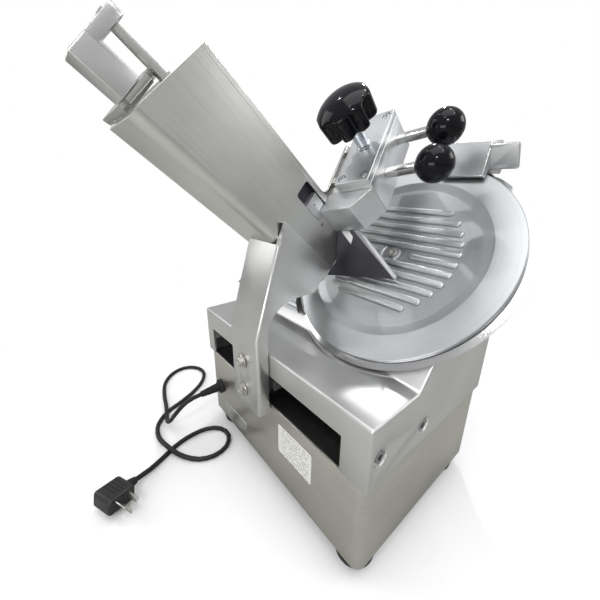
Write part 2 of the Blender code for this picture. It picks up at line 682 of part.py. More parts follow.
def build_drive(root):
    """Rails, chain, sprockets and gear motor that move the carriage."""
    reach = INNER_X - GAP
    for place, y, z in (("front", RAIL_FRONT_Y, RAIL_FRONT_Z), ("rear", RAIL_REAR_Y, RAIL_REAR_Z)):
        finish(rod((-reach, y, z), 2 * reach, RAIL_RADIUS, axis="X"), place + "_slide_rail",
               "polished_steel", root)
        finish(hexagon((INNER_X + GAP, y, z), WALL_BOLT_HEIGHT, WALL_BOLT_HEAD, "X"), place + "_wall_bolt",
               "polished_steel", root)

    inner = SPROCKET_RADIUS + SPROCKET_TOOTH + GAP
    chain = prism(stadium(CHAIN_HALF_SPAN, CHAIN_CENTRE_Y, inner + CHAIN_THICKNESS), CHAIN_LOW,
                  CHAIN_LOW + CHAIN_HEIGHT, along_z)
    chain = finish(chain, "drive_chain", "dark_steel", root)
    combine(chain, prism(stadium(CHAIN_HALF_SPAN, CHAIN_CENTRE_Y, inner), CHAIN_LOW - OVERRUN,
                         CHAIN_LOW + CHAIN_HEIGHT + OVERRUN, along_z))

    for name, x in (("drive_sprocket", CHAIN_HALF_SPAN), ("idler_sprocket", -CHAIN_HALF_SPAN)):
        centre = add_empty(name + "_axis", root, (x, CHAIN_CENTRE_Y, CHAIN_Z))
        points = []
        for tooth in range(SPROCKET_TEETH * 4):
            radius = SPROCKET_RADIUS + (SPROCKET_TOOTH if tooth % 4 in (1, 2) else 0)
            angle = 2 * math.pi * tooth / (SPROCKET_TEETH * 4)
            points.append((radius * math.cos(angle), radius * math.sin(angle)))
        wheel = finish(prism(points, -CHAIN_HEIGHT / 2, CHAIN_HEIGHT / 2, along_z), name, "polished_steel",
                       centre)
        shaft_top = CHAIN_HEIGHT / 2 + OVERRUN
        combine(wheel, rod((0, 0, -shaft_top), 2 * shaft_top, SPROCKET_SHAFT + GAP))

    top = CHAIN_LOW + CHAIN_HEIGHT + GAP
    shelf = bpy.data.objects["drive_shelf"]
    root_z = SHELF_TOP - SHELF / 2
    combine(shelf, rod((-CHAIN_HALF_SPAN, CHAIN_CENTRE_Y, root_z), top - root_z, SPROCKET_SHAFT), "UNION")
    combine(shelf,
            rod((-CHAIN_HALF_SPAN, CHAIN_CENTRE_Y, root_z), CHAIN_LOW - GAP - root_z, 2 * SPROCKET_SHAFT),
            "UNION")

    motor_top = SHELF_TOP - SHELF - GAP
    right = BASE_WIDTH / 2 - BASE_WALL - OVERRUN
    motor = soft_box((right - GEARMOTOR_WIDTH, CHAIN_CENTRE_Y - GEARMOTOR_DEPTH / 2,
                      motor_top - GEARMOTOR_HEIGHT),
                     (right, CHAIN_CENTRE_Y + GEARMOTOR_DEPTH / 2, motor_top), HOUSING_EDGE)
    motor = finish(motor, "gear_motor", "motor_grey", root)
    can_top = motor_top - GEARMOTOR_HEIGHT + OVERRUN
    combine(motor, rod((right - GEARMOTOR_WIDTH / 2, CHAIN_CENTRE_Y, can_top - GEARMOTOR_CAN_LENGTH),
                       GEARMOTOR_CAN_LENGTH, GEARMOTOR_CAN_RADIUS), "UNION")
    combine(motor, rod((CHAIN_HALF_SPAN, CHAIN_CENTRE_Y, motor_top - OVERRUN), top - motor_top + OVERRUN,
                       SPROCKET_SHAFT), "UNION")
    combine(shelf, rod((CHAIN_HALF_SPAN, CHAIN_CENTRE_Y, SHELF_TOP - SHELF - OVERRUN), SHELF + 2 * OVERRUN,
                       SPROCKET_SHAFT + GAP))


def stadium(half_span, centre_y, radius, steps=12):
    """Outline of a belt round two equal wheels on the X line."""
    points = []
    for side in (1, -1):
        for step in range(steps + 1):
            angle = math.radians(-90) + math.pi * step / steps
            points.append((side * (half_span + radius * math.cos(angle)),
                           centre_y + side * radius * math.sin(angle)))
    return points


def open_belt(large, small, distance, steps=16):
    """Outline round a large wheel at the origin and a small one at -distance on Y."""
    lean = math.asin((large - small) / distance)
    points = []
    for radius, centre, start, sweep in ((large, 0, -lean, math.pi + 2 * lean),
                                         (small, -distance, math.pi + lean, math.pi - 2 * lean)):
        for step in range(steps + 1):
            angle = start + sweep * step / steps
            points.append((radius * math.cos(angle), centre + radius * math.sin(angle)))
    return points


def build_blade(slope):
    blade_edge = BLADE_RADIUS - BLADE_BEVEL
    blade = turned([(SPINDLE_RADIUS + GAP, BLADE_BOTTOM), (BLADE_RADIUS, BLADE_BOTTOM),
                    (BLADE_RADIUS, BLADE_BOTTOM + GAP), (blade_edge, BLADE_TOP),
                    (SPINDLE_RADIUS + GAP, BLADE_TOP)], 72)
    finish(blade, "blade", "polished_steel", slope)

    spindle = turned([(SPINDLE_BORE, SPINDLE_END), (SPINDLE_RADIUS, SPINDLE_END),
                      (SPINDLE_RADIUS, HUB_TOP - HUB_THICKNESS), (HUB_RADIUS, HUB_TOP - HUB_THICKNESS),
                      (HUB_RADIUS, HUB_TOP), (SPINDLE_RADIUS, HUB_TOP), (SPINDLE_RADIUS, BLADE_TOP),
                      (SPINDLE_BORE, BLADE_TOP)])
    finish(spindle, "blade_spindle", "polished_steel", slope)

    pulley_back = PULLEY_FRONT - PULLEY_WIDTH
    large = washer(PULLEY_LARGE, SPINDLE_RADIUS + GAP, pulley_back, PULLEY_FRONT)
    finish(large, "spindle_pulley", "cover_alloy", slope)
    motor_axis = add_empty("blade_motor_axis", slope, (0, -MOTOR_OFFSET, 0))
    small = washer(PULLEY_SMALL, MOTOR_SHAFT + GAP, pulley_back, PULLEY_FRONT)
    finish(small, "motor_pulley", "cover_alloy", motor_axis)
    belt_low = (PULLEY_FRONT + pulley_back - BELT_WIDTH) / 2
    outer = open_belt(PULLEY_LARGE + GAP + BELT_THICKNESS, PULLEY_SMALL + GAP + BELT_THICKNESS,
                      MOTOR_OFFSET)
    belt = finish(prism(outer, belt_low, belt_low + BELT_WIDTH, along_z), "drive_belt", "black_rubber",
                  slope)
    inner = open_belt(PULLEY_LARGE + 2 * GAP, PULLEY_SMALL + 2 * GAP, MOTOR_OFFSET)
    combine(belt, prism(inner, belt_low - OVERRUN, belt_low + BELT_WIDTH + OVERRUN, along_z))

    flange_top = DRUM_BACK - GAP
    house_end = flange_top - BEARING_HOUSE_LENGTH
    house = finish(box((-BEARING_FLANGE_HALF_U, -BEARING_FLANGE_HALF_V, flange_top - BEARING_FLANGE),
                       (BEARING_FLANGE_HALF_U, BEARING_FLANGE_HALF_V, flange_top)), "bearing_housing",
                       "dark_steel",
                   slope)
    combine(house, rod((0, 0, house_end), flange_top - house_end - BEARING_FLANGE / 2, BEARING_HOUSE_RADIUS,
                       sides=ROUND_SIDES), "UNION")
    combine(house,
            rod((0, 0, house_end - OVERRUN), flange_top - house_end + 2 * OVERRUN, BEARING_RADIUS + GAP,
                       sides=ROUND_SIDES))
    for name, low in (("front_bearing", flange_top - BEARING_WIDTH), ("rear_bearing", house_end)):
        finish(washer(BEARING_RADIUS, SPINDLE_RADIUS + GAP, low, low + BEARING_WIDTH), name,
               "polished_steel", slope)

    plate_back = MOTOR_PLATE_FRONT - MOTOR_PLATE
    half = MOTOR_PLATE_HALF
    mount = finish(box((-half, MOTOR_PLATE_LOW, plate_back), (half, MOTOR_PLATE_HIGH, flange_top)),
                   "motor_bracket", "dark_steel", slope)
    combine(mount, box((-half + MOTOR_PLATE, MOTOR_PLATE_LOW - OVERRUN, MOTOR_PLATE_FRONT),
                       (half - MOTOR_PLATE, MOTOR_PLATE_HIGH + OVERRUN, flange_top + OVERRUN)))
    combine(mount, rod((0, -MOTOR_OFFSET, plate_back - OVERRUN), MOTOR_PLATE + 2 * OVERRUN, PULLEY_SMALL))
    motor_top = plate_back - GAP
    motor = finish(rod((0, -MOTOR_OFFSET, motor_top - MOTOR_LENGTH), MOTOR_LENGTH, MOTOR_RADIUS, sides=32),
                   "blade_motor", "motor_grey", slope)
    combine(motor, rod((0, -MOTOR_OFFSET, motor_top - OVERRUN), PULLEY_FRONT - motor_top + OVERRUN,
                       MOTOR_SHAFT), "UNION")

    strap = box((-STUD_STRAP_U - STUD_STRAP_WIDTH / 2, -STUD_STRAP_WIDTH / 2, STUD_STRAP_BACK - STUD_STRAP),
                (STUD_STRAP_U + STUD_STRAP_WIDTH / 2, STUD_STRAP_WIDTH / 2, STUD_STRAP_BACK))
    posts = bmesh.new()
    for u in (-STUD_STRAP_U, STUD_STRAP_U):
        rod((u, 0, STUD_STRAP_BACK - STUD_STRAP / 2), flange_top - STUD_STRAP_BACK - BEARING_FLANGE / 2,
            STUD_STRAP_POST, bm=posts)
    combine(house, posts, "UNION")
    combine(house, strap, "UNION")

    cover_low = -COVER_RIM
    step_low = -COVER_RECESS
    sheet = COVER_SHEET
    cover = turned([(STUD_RADIUS + GAP, step_low - sheet), (COVER_STEP_INNER, step_low - sheet),
                    (COVER_STEP_OUTER, -sheet), (COVER_RADIUS - sheet, -sheet),
                    (COVER_RADIUS - sheet, cover_low),
                    (COVER_RADIUS, cover_low), (COVER_RADIUS, -sheet / 2), (COVER_RADIUS - sheet / 2, 0),
                    (COVER_STEP_OUTER, 0), (COVER_STEP_INNER, step_low), (STUD_RADIUS + GAP, step_low)], 72)
    cover = finish(cover, "blade_cover", "cover_alloy", slope)
    ribs = bmesh.new()
    for index in range(RIB_COUNT):
        v = (index - (RIB_COUNT - 1) / 2) * RIB_PITCH
        reach = math.sqrt(RIB_FIELD_RADIUS ** 2 - v ** 2)
        pieces = [(-reach, reach)]
        if abs(v) < RIB_PITCH / 2:
            pieces = [(-reach, -3 * STUD_HEAD_RADIUS), (3 * STUD_HEAD_RADIUS, reach)]
        for low, high in pieces:
            box((low, v - RIB_WIDTH / 2, step_low - RIB_SINK),
                (high, v + RIB_WIDTH / 2, step_low + RIB_HEIGHT),
                bm=ribs)
    combine(cover, ribs, "UNION")

    stud_low = STUD_STRAP_BACK + GAP
    stud = turned([(0, stud_low), (STUD_RADIUS, stud_low), (STUD_RADIUS, step_low + GAP),
                   (STUD_HEAD_RADIUS, step_low + GAP), (STUD_HEAD_RADIUS, step_low + GAP + STUD_HEAD),
                   (0, step_low + GAP + STUD_HEAD)], SMALL_SIDES)
    finish(stud, "cover_stud", "polished_steel", slope)


def build_gauge(root, slope):
    """Ridged gauge plate left of the blade, its guide posts and the thickness dial."""
    floor = GAUGE_TOP - GAUGE_RIDGE
    back = GAUGE_TOP - GAUGE_THICKNESS
    outline = [(GAUGE_LOW, back)]
    count = round((GAUGE_HIGH - GAUGE_LOW) / GAUGE_RIDGE_PITCH)
    pitch = (GAUGE_HIGH - GAUGE_LOW) / count
    for ridge in range(count):
        v = GAUGE_LOW + ridge * pitch
        outline += [(v, floor), (v + pitch / 4, GAUGE_TOP), (v + pitch / 2, GAUGE_TOP),
                    (v + pitch * 3 / 4, floor)]
    outline += [(GAUGE_HIGH, floor), (GAUGE_HIGH, back)]
    plate = finish(prism(outline, GAUGE_TONGUE_LEFT, 0, along_x), "gauge_plate", "cover_alloy", slope)
    combine(plate,
            rod((0, 0, back - OVERRUN), GAUGE_THICKNESS + 2 * OVERRUN, BLADE_RADIUS + GAUGE_BLADE_GAP,
                sides=72))
    combine(plate, box((GAUGE_TONGUE_LEFT - OVERRUN, GAUGE_TONGUE_HIGH, back - OVERRUN),
                       (GAUGE_LEFT, GAUGE_HIGH + OVERRUN, GAUGE_TOP + OVERRUN)))
    bush_top = TOWER_INNER - GAP
    posts = bmesh.new()
    bushes = box((GAUGE_POST_U - GAUGE_BUSH_RADIUS, GAUGE_POST_LOW_V, GAUGE_BUSH_END + GAUGE_BUSH_RADIUS),
                 (GAUGE_POST_U + GAUGE_BUSH_RADIUS, GAUGE_POST_HIGH_V, bush_top))
    bores = bmesh.new()
    for v in (GAUGE_POST_LOW_V, GAUGE_POST_HIGH_V):
        rod((GAUGE_POST_U, v, GAUGE_POST_END), back - GAUGE_POST_END + GAUGE_THICKNESS / 2,
            GAUGE_POST_RADIUS,
            bm=posts)
        rod((GAUGE_POST_U, v, GAUGE_BUSH_END - OVERRUN), bush_top - GAUGE_BUSH_END + 2 * OVERRUN,
            GAUGE_POST_RADIUS + GAP, bm=bores)
    combine(plate, posts, "UNION")
    guide = finish(bushes, "gauge_guide", "dark_steel", slope)
    bushes = bmesh.new()
    for v in (GAUGE_POST_LOW_V, GAUGE_POST_HIGH_V):
        rod((GAUGE_POST_U, v, GAUGE_BUSH_END), bush_top - GAUGE_BUSH_END, GAUGE_BUSH_RADIUS, bm=bushes)
    combine(guide, bushes, "UNION")
    combine(guide, bores)

    wall = -HOUSING_WIDTH / 2
    axis = add_empty("dial_axis", root, (wall, DIAL_Y, DIAL_Z))
    points = []
    for index in range(DIAL_LOBES * 4):
        radius = DIAL_RADIUS - (DIAL_GRIP if index % 4 in (1, 2) else 0)
        angle = 2 * math.pi * index / (DIAL_LOBES * 4)
        points.append((radius * math.cos(angle), radius * math.sin(angle)))
    dial = finish(prism(points, -GAP - DIAL_DEPTH, -GAP, along_x), "thickness_dial", "black_plastic", axis)
    shaft = rod((-GAP - OVERRUN, 0, 0), GAP + OVERRUN + DIAL_SHAFT_LENGTH, DIAL_SHAFT_RADIUS, axis="X")
    combine(dial, shaft, "UNION")
    cam = rod((DIAL_SHAFT_LENGTH - DIAL_CAM_WIDTH, 0, 0), DIAL_CAM_WIDTH, DIAL_CAM_RADIUS, axis="X")
    combine(dial, cam, "UNION")


def build_switches(root):
    wall = -HOUSING_WIDTH / 2
    plate = finish(box((wall - GAP - SWITCH_PLATE_DEPTH, SWITCH_Y - SWITCH_PLATE_WIDTH / 2,
                        SWITCH_Z - SWITCH_PLATE_HEIGHT / 2),
                       (wall - GAP, SWITCH_Y + SWITCH_PLATE_WIDTH / 2, SWITCH_Z + SWITCH_PLATE_HEIGHT / 2)),
                   "switch_plate", "black_plastic", root)
    holes = bmesh.new()
    for name, side, paint in (("start_button", -1, "green_plastic"), ("stop_button", 1, "red_plastic")):
        y = SWITCH_Y + side * BUTTON_SPACING / 2
        button = turned([(0, -BUTTON_STEM), (BUTTON_RADIUS / 2, -BUTTON_STEM),
                         (BUTTON_RADIUS / 2, BUTTON_PROUD / 2),
                         (BUTTON_RADIUS, BUTTON_PROUD / 2), (BUTTON_RADIUS, BUTTON_PROUD * 3 / 2),
                         (0, BUTTON_PROUD * 3 / 2)], SMALL_SIDES)
        bmesh.ops.rotate(button, cent=(0, 0, 0), matrix=Matrix.Rotation(math.radians(-90), 3, "Y"),
                         verts=button.verts)
        finish(button, name, paint, root, (wall - GAP - SWITCH_PLATE_DEPTH - GAP, y, SWITCH_Z))
        rod((wall - 2 * OVERRUN, y, SWITCH_Z), 3 * OVERRUN, BUTTON_RADIUS / 2 + GAP, axis="X", bm=holes)
    combine(plate, holes)


def arm_outline():
    """Side outline of the arm's body, from its foot up to the cradle under the chute."""
    arc_shares = ((0.506, 0.030), (0.273, 0.119), (0.119, 0.273), (0.030, 0.506))
    throat = slope_yz(ARM_LOW_V, ARM_END_W)
    start_z = DECK_Z + OVERRUN
    arc = [(ARM_SKIRT + (throat[0] - ARM_SKIRT) * across, throat[1] + (start_z - throat[1]) * down)
           for across, down in arc_shares]
    return [(ARM_SKIRT, ARM_FOOT), (ARM_FRONT, ARM_FOOT), (ARM_FRONT, ARM_KINK),
            slope_yz(ARM_CRADLE_V, ARM_FRONT_W), slope_yz(ARM_CRADLE_V, ARM_END_W), throat] + arc + [
            (ARM_SKIRT, start_z)]


def build_carriage(root, slope):
    arm = prism(arm_outline(), ARM_LEFT, ARM_RIGHT, along_x)
    arm = finish(arm, "carriage_arm", "painted_alloy", root)
    cheek_low = ARM_CRADLE_V - OVERRUN
    cheek = [slope_yz(cheek_low, ARM_FRONT_W - OVERRUN / 2), slope_yz(ARM_CRADLE_V, ARM_FRONT_W),
             slope_yz(ARM_CHEEK_V, ARM_CHEEK_FRONT_W), slope_yz(ARM_CHEEK_V, ARM_END_W),
             slope_yz(cheek_low, ARM_END_W)]
    combine(arm, prism(cheek, ARM_RIGHT - ARM_CHEEK, ARM_RIGHT, along_x), "UNION")

    left = ARM_MIDDLE - BRACKET_HALF
    right = ARM_MIDDLE + BRACKET_HALF
    combine(arm, box((left - GAP, ARM_BACK, ARM_FOOT - OVERRUN), (right + GAP, OVERRUN, BRACKET_TOP + GAP)))
    slider = finish(box((ARM_MIDDLE - SLIDER_HALF, SLIDER_FRONT, SLIDER_LOW),
                        (ARM_MIDDLE + SLIDER_HALF, SLIDER_BACK, SLIDER_HIGH)), "slider_block", "dark_steel",
                        root)
    combine(slider, box((ARM_MIDDLE - TONGUE_HALF, BRACKET_BACK - SHELF / 2, TONGUE_LOW),
                        (ARM_MIDDLE + TONGUE_HALF, SLIDER_FRONT + OVERRUN / 2, TONGUE_HIGH)), "UNION")
    combine(slider, box((left, ARM_BACK + GAP, BRACKET_FOOT), (right, BRACKET_BACK, BRACKET_TOP)), "UNION")
    bores = bmesh.new()
    for y, z in ((RAIL_FRONT_Y, RAIL_FRONT_Z), (RAIL_REAR_Y, RAIL_REAR_Z)):
        rod((ARM_MIDDLE - SLIDER_HALF - OVERRUN, y, z), 2 * (SLIDER_HALF + OVERRUN), RAIL_RADIUS + GAP,
            axis="X", bm=bores)
    combine(slider, bores)
    run = CHAIN_CENTRE_Y + SPROCKET_RADIUS + SPROCKET_TOOTH + GAP
    prongs = bmesh.new()
    for low in (run - 2 * GAP - DOG_WALL, run + CHAIN_THICKNESS + 2 * GAP):
        box((ARM_MIDDLE - DOG_HALF, low, SLIDER_LOW - DOG_DROP), (ARM_MIDDLE + DOG_HALF, low + DOG_WALL,
            SLIDER_LOW + OVERRUN), bm=prongs)
    combine(slider, prongs, "UNION")

    face = ARM_FRONT - GAP
    for place, z in (("lower", ARM_BOLT_LOW), ("upper", ARM_BOLT_HIGH)):
        bolt = finish(rod((ARM_BOLT_X, face - ARM_WASHER_THICKNESS, z), ARM_WASHER_THICKNESS, ARM_WASHER,
                          axis="Y"),
                      place + "_arm_bolt", "polished_steel", root)
        combine(bolt, hexagon((ARM_BOLT_X, face - ARM_WASHER_THICKNESS - ARM_BOLT_HEIGHT, z),
                              ARM_BOLT_HEIGHT + ARM_WASHER_THICKNESS / 2, ARM_BOLT_HEAD, "Y"), "UNION")
    build_chute(slope)


def chute_section():
    """Cross-section of the folded sheet: hemmed wall, round bend, floor, round bend, far wall."""
    sheet = CHUTE_SHEET
    steps = 5
    right, left, low = CHUTE_RIGHT, CHUTE_LEFT, CHUTE_FLOOR

    def bend(x, y, radius, start):
        return [(x + radius * math.cos(math.radians(start - 90 * step / steps)),
                 y + radius * math.sin(math.radians(start - 90 * step / steps))) for step in range(steps + 1)]

    outer = [(right, CHUTE_HEM)]
    outer += bend(right - CHUTE_BEND, low + CHUTE_BEND, CHUTE_BEND, 0)
    outer += bend(left + CHUTE_BEND, low + CHUTE_BEND, CHUTE_BEND, -90)
    outer += [(left, CHUTE_HEM)]
    inner = [(left + sheet, CHUTE_HEM)]
    inner += list(reversed(bend(left + CHUTE_BEND, low + CHUTE_BEND, CHUTE_BEND - sheet, -90)))
    inner += list(reversed(bend(right - CHUTE_BEND, low + CHUTE_BEND, CHUTE_BEND - sheet, 0)))
    fold = right - CHUTE_HEM_FOLD
    inner += [(right - sheet, CHUTE_HEM - CHUTE_HEM_DEPTH), (fold, CHUTE_HEM - CHUTE_HEM_DEPTH),
              (fold, CHUTE_HEM)]
    return outer + inner


def build_chute(slope):
    chute = finish(prism(chute_section(), CHUTE_LOW_W, CHUTE_TOP_W, along_z), "meat_chute", "brushed_steel",
                   slope)
    far = CHUTE_LEFT - OVERRUN
    near = CHUTE_RIGHT + OVERRUN
    above = CHUTE_HEM + OVERRUN
    top = [(CHUTE_FLOOR - OVERRUN, CHUTE_TOP_W + OVERRUN), (CHUTE_FLOOR + CHUTE_BEND, CHUTE_TOP_W + GAP),
           (above, CHUTE_HEM_TOP_W), (above, CHUTE_TOP_W + OVERRUN)]
    combine(chute, prism(top, far, near, along_x))
    low = [(CHUTE_LOW_V, CHUTE_LOW_W - OVERRUN), (CHUTE_LOW_V, CHUTE_LOW_W + OVERRUN),
           (CHUTE_HEM - CHUTE_HEM_DEPTH, CHUTE_HEM_LOW_W - OVERRUN), (above, CHUTE_HEM_LOW_W),
           (above, CHUTE_LOW_W - OVERRUN)]
    combine(chute, prism(low, far, near, along_x))
    window = box((CHUTE_RIGHT - 2 * CHUTE_SHEET, HEM_BLOCK_LOW_V - GAP, HEM_BLOCK_LOW_W - GAP),
                 (near, HEM_BLOCK_HIGH_V + GAP, HEM_BLOCK_TOP_W + HEM_WINDOW_RISE))
    combine(chute, window)
    block = soft_box((CHUTE_RIGHT - HEM_BLOCK_DEPTH, HEM_BLOCK_LOW_V, HEM_BLOCK_LOW_W),
                     (CHUTE_RIGHT, HEM_BLOCK_HIGH_V, HEM_BLOCK_TOP_W), CHUTE_SHEET / 2, 1)
    finish(block, "hem_block", "cover_alloy", slope)

    half = ROD_SIZE / 2
    guide = soft_box((ROD_U - half, ROD_V - half, ROD_LOW_W),
                     (ROD_U + half, ROD_V + half, ROD_TOP_W), GAP, 1)
    guide = finish(guide, "guide_rod", "polished_steel", slope)
    wall = CHUTE_RIGHT - CHUTE_SHEET - GAP
    combine(guide,
            box((ROD_U - half - PUSHER_SLEEVE, ROD_V - ROD_MOUNT_HEIGHT / 2, ROD_LOW_W - ROD_MOUNT_LOW),
                       (wall, ROD_V + ROD_MOUNT_HEIGHT / 2, ROD_LOW_W + ROD_MOUNT_LENGTH)), "UNION")


def build_pusher(slope):
    axis = add_empty("pusher_axis", slope, (ROD_U, ROD_V, 0))
    shift = Vector((-ROD_U, -ROD_V, 0))

    def moved(bm):
        bmesh.ops.translate(bm, vec=shift, verts=bm.verts)
        return bm

    block = moved(soft_box((PUSHER_LEFT, PUSHER_LOW, PUSHER_BASE_W),
                           (PUSHER_RIGHT, PUSHER_HIGH, PUSHER_TOP_W),
                           PUSHER_EDGE))
    block = finish(block, "pusher_block", "painted_alloy", axis)
    half = ROD_SIZE / 2
    head_left = ROD_U - half - PUSHER_SLEEVE
    head = soft_box((head_left, PUSHER_HIGH - OVERRUN, PUSHER_TOP_W - PUSHER_HEAD),
                    (PUSHER_RIGHT + GAP, PUSHER_HEAD_V, PUSHER_TOP_W + GAP), PUSHER_EDGE)
    combine(block, moved(head), "UNION")
    fit = half + GAP
    hole = box((ROD_U - fit, ROD_V - fit, PUSHER_BASE_W - OVERRUN), (ROD_U + fit, ROD_V + fit,
               PUSHER_TOP_W + 2 * OVERRUN))
    combine(block, moved(hole))

    left = CHUTE_LEFT + CHUTE_SHEET + FOOT_PLATE_GAP
    right = CHUTE_RIGHT - CHUTE_SHEET - FOOT_PLATE_GAP
    low = CHUTE_FLOOR + CHUTE_SHEET + FOOT_PLATE_GAP
    back = PUSHER_BASE_W - GAP
    root_w = back - FOOT_PLATE_SHEET
    count = round((right - left) / FOOT_TOOTH_PITCH)
    pitch = (right - left) / count
    outline = [(left, back), (left, root_w)]
    for tooth in range(count):
        outline += [(left + (tooth + 0.5) * pitch, root_w - FOOT_TOOTH),
                    (left + (tooth + 1) * pitch, root_w)]
    outline += [(right, back)]
    plate = finish(moved(prism(outline, low, FOOT_PLATE_HIGH_V, along_y)), "pusher_foot", "polished_steel",
                   axis)
    notch = box((head_left - GAP, ROD_V - ROD_MOUNT_HEIGHT / 2 - FOOT_PLATE_GAP,
                 FOOT_PLATE_LOW_W - OVERRUN),
                (right + OVERRUN, FOOT_PLATE_HIGH_V + OVERRUN, back + OVERRUN))
    combine(plate, moved(notch))
    corners = box((left - OVERRUN, low - OVERRUN, FOOT_PLATE_LOW_W - OVERRUN),
                  (left + CHUTE_BEND / 2, low + CHUTE_BEND / 2, back + OVERRUN))
    box((right - CHUTE_BEND / 2, low - OVERRUN, FOOT_PLATE_LOW_W - OVERRUN),
        (right + OVERRUN, low + CHUTE_BEND / 2, back + OVERRUN), bm=corners)
    combine(plate, moved(corners))


def build_clamp(clamp):
    block = finish(soft_box((CLAMP_LEFT, CLAMP_LOW, CLAMP_BOTTOM_W),
                            (CLAMP_RIGHT, CLAMP_HIGH, CLAMP_SPLIT_W),
                            CLAMP_EDGE, 1), "clamp_block", "painted_alloy", clamp)
    slots = bmesh.new()
    fit = BAR_SIZE / 2 + BAR_CLEARANCE
    for b in (BAR_FIRST, BAR_SECOND):
        box((CLAMP_LEFT - OVERRUN, b - fit, BAR_CENTRE_W - fit),
            (CLAMP_RIGHT + OVERRUN, b + fit, BAR_CENTRE_W + fit),
            bm=slots)
    combine(block, slots)
    middle = (BAR_FIRST + BAR_SECOND) / 2
    shoe_low = BAR_CENTRE_W + BAR_SIZE / 2 + GAP
    shoe_top = shoe_low + SHOE_THICKNESS
    grow = POCKET_GAP
    pocket = box((KNOB_A - SHOE_WIDTH / 2 - grow, middle - SHOE_LENGTH / 2 - grow, BAR_CENTRE_W),
                 (KNOB_A + SHOE_WIDTH / 2 + grow, middle + SHOE_LENGTH / 2 + grow, CLAMP_SPLIT_W + OVERRUN))
    combine(block, pocket)
    shoe = box((KNOB_A - SHOE_WIDTH / 2, middle - SHOE_LENGTH / 2, shoe_low),
               (KNOB_A + SHOE_WIDTH / 2, middle + SHOE_LENGTH / 2, shoe_top))
    finish(shoe, "lock_shoe", "brass", clamp)

    top = finish(soft_box((CLAMP_LEFT, CLAMP_LOW, CLAMP_SPLIT_W + GAP),
                          (CLAMP_RIGHT, CLAMP_HIGH, CLAMP_TOP_W),
                          CLAMP_EDGE, 1), "clamp_top_plate", "cover_alloy", clamp)
    combine(top, rod((KNOB_A, KNOB_B, CLAMP_SPLIT_W - OVERRUN), CLAMP_TOP_W - CLAMP_SPLIT_W + 2 * OVERRUN,
                     KNOB_SCREW_RADIUS + GAP))
    press = finish(soft_box((PRESS_FACE, PRESS_LOW, PRESS_LOW_W), (PRESS_BACK, PRESS_HIGH, PRESS_HIGH_W),
                            PRESS_SHEET / 4, 1), "press_plate", "polished_steel", clamp)
    bars = bmesh.new()
    half = BAR_SIZE / 2
    for place, b in (("lower", BAR_FIRST), ("upper", BAR_SECOND)):
        box((PRESS_BACK - PRESS_SHEET / 2, b - half, BAR_CENTRE_W - half),
            (BAR_END, b + half, BAR_CENTRE_W + half),
            bm=bars)
        ball = bmesh.new()
        centre = Matrix.Translation((BALL_CENTRE, b, BAR_CENTRE_W)) @ AXES["X"]
        bmesh.ops.create_uvsphere(ball, u_segments=24, v_segments=14, radius=BALL_RADIUS, matrix=centre)
        ball = finish(ball, place + "_ball_knob", "black_plastic", clamp)
        combine(ball, box((CLAMP_RIGHT, b - half - GAP, BAR_CENTRE_W - half - GAP),
                          (BAR_END + GAP, b + half + GAP, BAR_CENTRE_W + half + GAP)))
    combine(press, bars, "UNION")


def build_clamp_support(slope, clamp):
    """Block that joins the clamp to the chute wall, and the thin guard plate that hangs from it."""
    side = ARM_RIGHT - BLADE_CENTRE.x + GAP
    wall = CHUTE_RIGHT + GAP
    low_right = clamp_to_slope(BRACKET_BLOCK_RIGHT, BRACKET_BLOCK_LOW)
    high_right = clamp_to_slope(CLAMP_RIGHT - GAP, CLAMP_LOW - GAP)

    def left_at(u, b_from):
        a = (u + b_from * math.sin(CLAMP_TURN)) / math.cos(CLAMP_TURN)
        return clamp_to_slope(a, b_from)

    outline = [left_at(wall, BRACKET_BLOCK_LOW), low_right, high_right, left_at(wall, CLAMP_LOW - GAP)]
    block = prism(outline, CLAMP_BOTTOM_W, BRACKET_BLOCK_TOP_W, along_z)
    bmesh.ops.bevel(block, geom=block.edges[:], offset=CLAMP_EDGE / 2, segments=1, affect="EDGES")
    finish(block, "clamp_bracket", "painted_alloy", slope)

    # The sheet hangs plumb, so in the leaning clamp frame it runs back as it goes down
    top_w = CLAMP_BOTTOM_W - GAP
    left_a = (side + GUARD_TOP_B * math.sin(CLAMP_TURN)) / math.cos(CLAMP_TURN) + GAP
    outline = [(GUARD_LOW_LEFT, GUARD_LOW_W), (GUARD_LOW_RIGHT, GUARD_LOW_W), (GUARD_TOP_RIGHT, top_w),
               (left_a, top_w), (left_a, GUARD_LEFT_W), (GUARD_LOW_LEFT, GUARD_LEFT_W)]
    depth = GUARD_SHEET / math.cos(TILT)
    sheet = prism(outline, GUARD_TOP_B, GUARD_TOP_B + depth, along_y)
    lean = math.tan(TILT) * math.cos(CLAMP_TURN)
    for vert in sheet.verts:
        vert.co.y -= (top_w - vert.co.z) * lean
    finish(sheet, "guard_plate", "dark_steel", clamp)


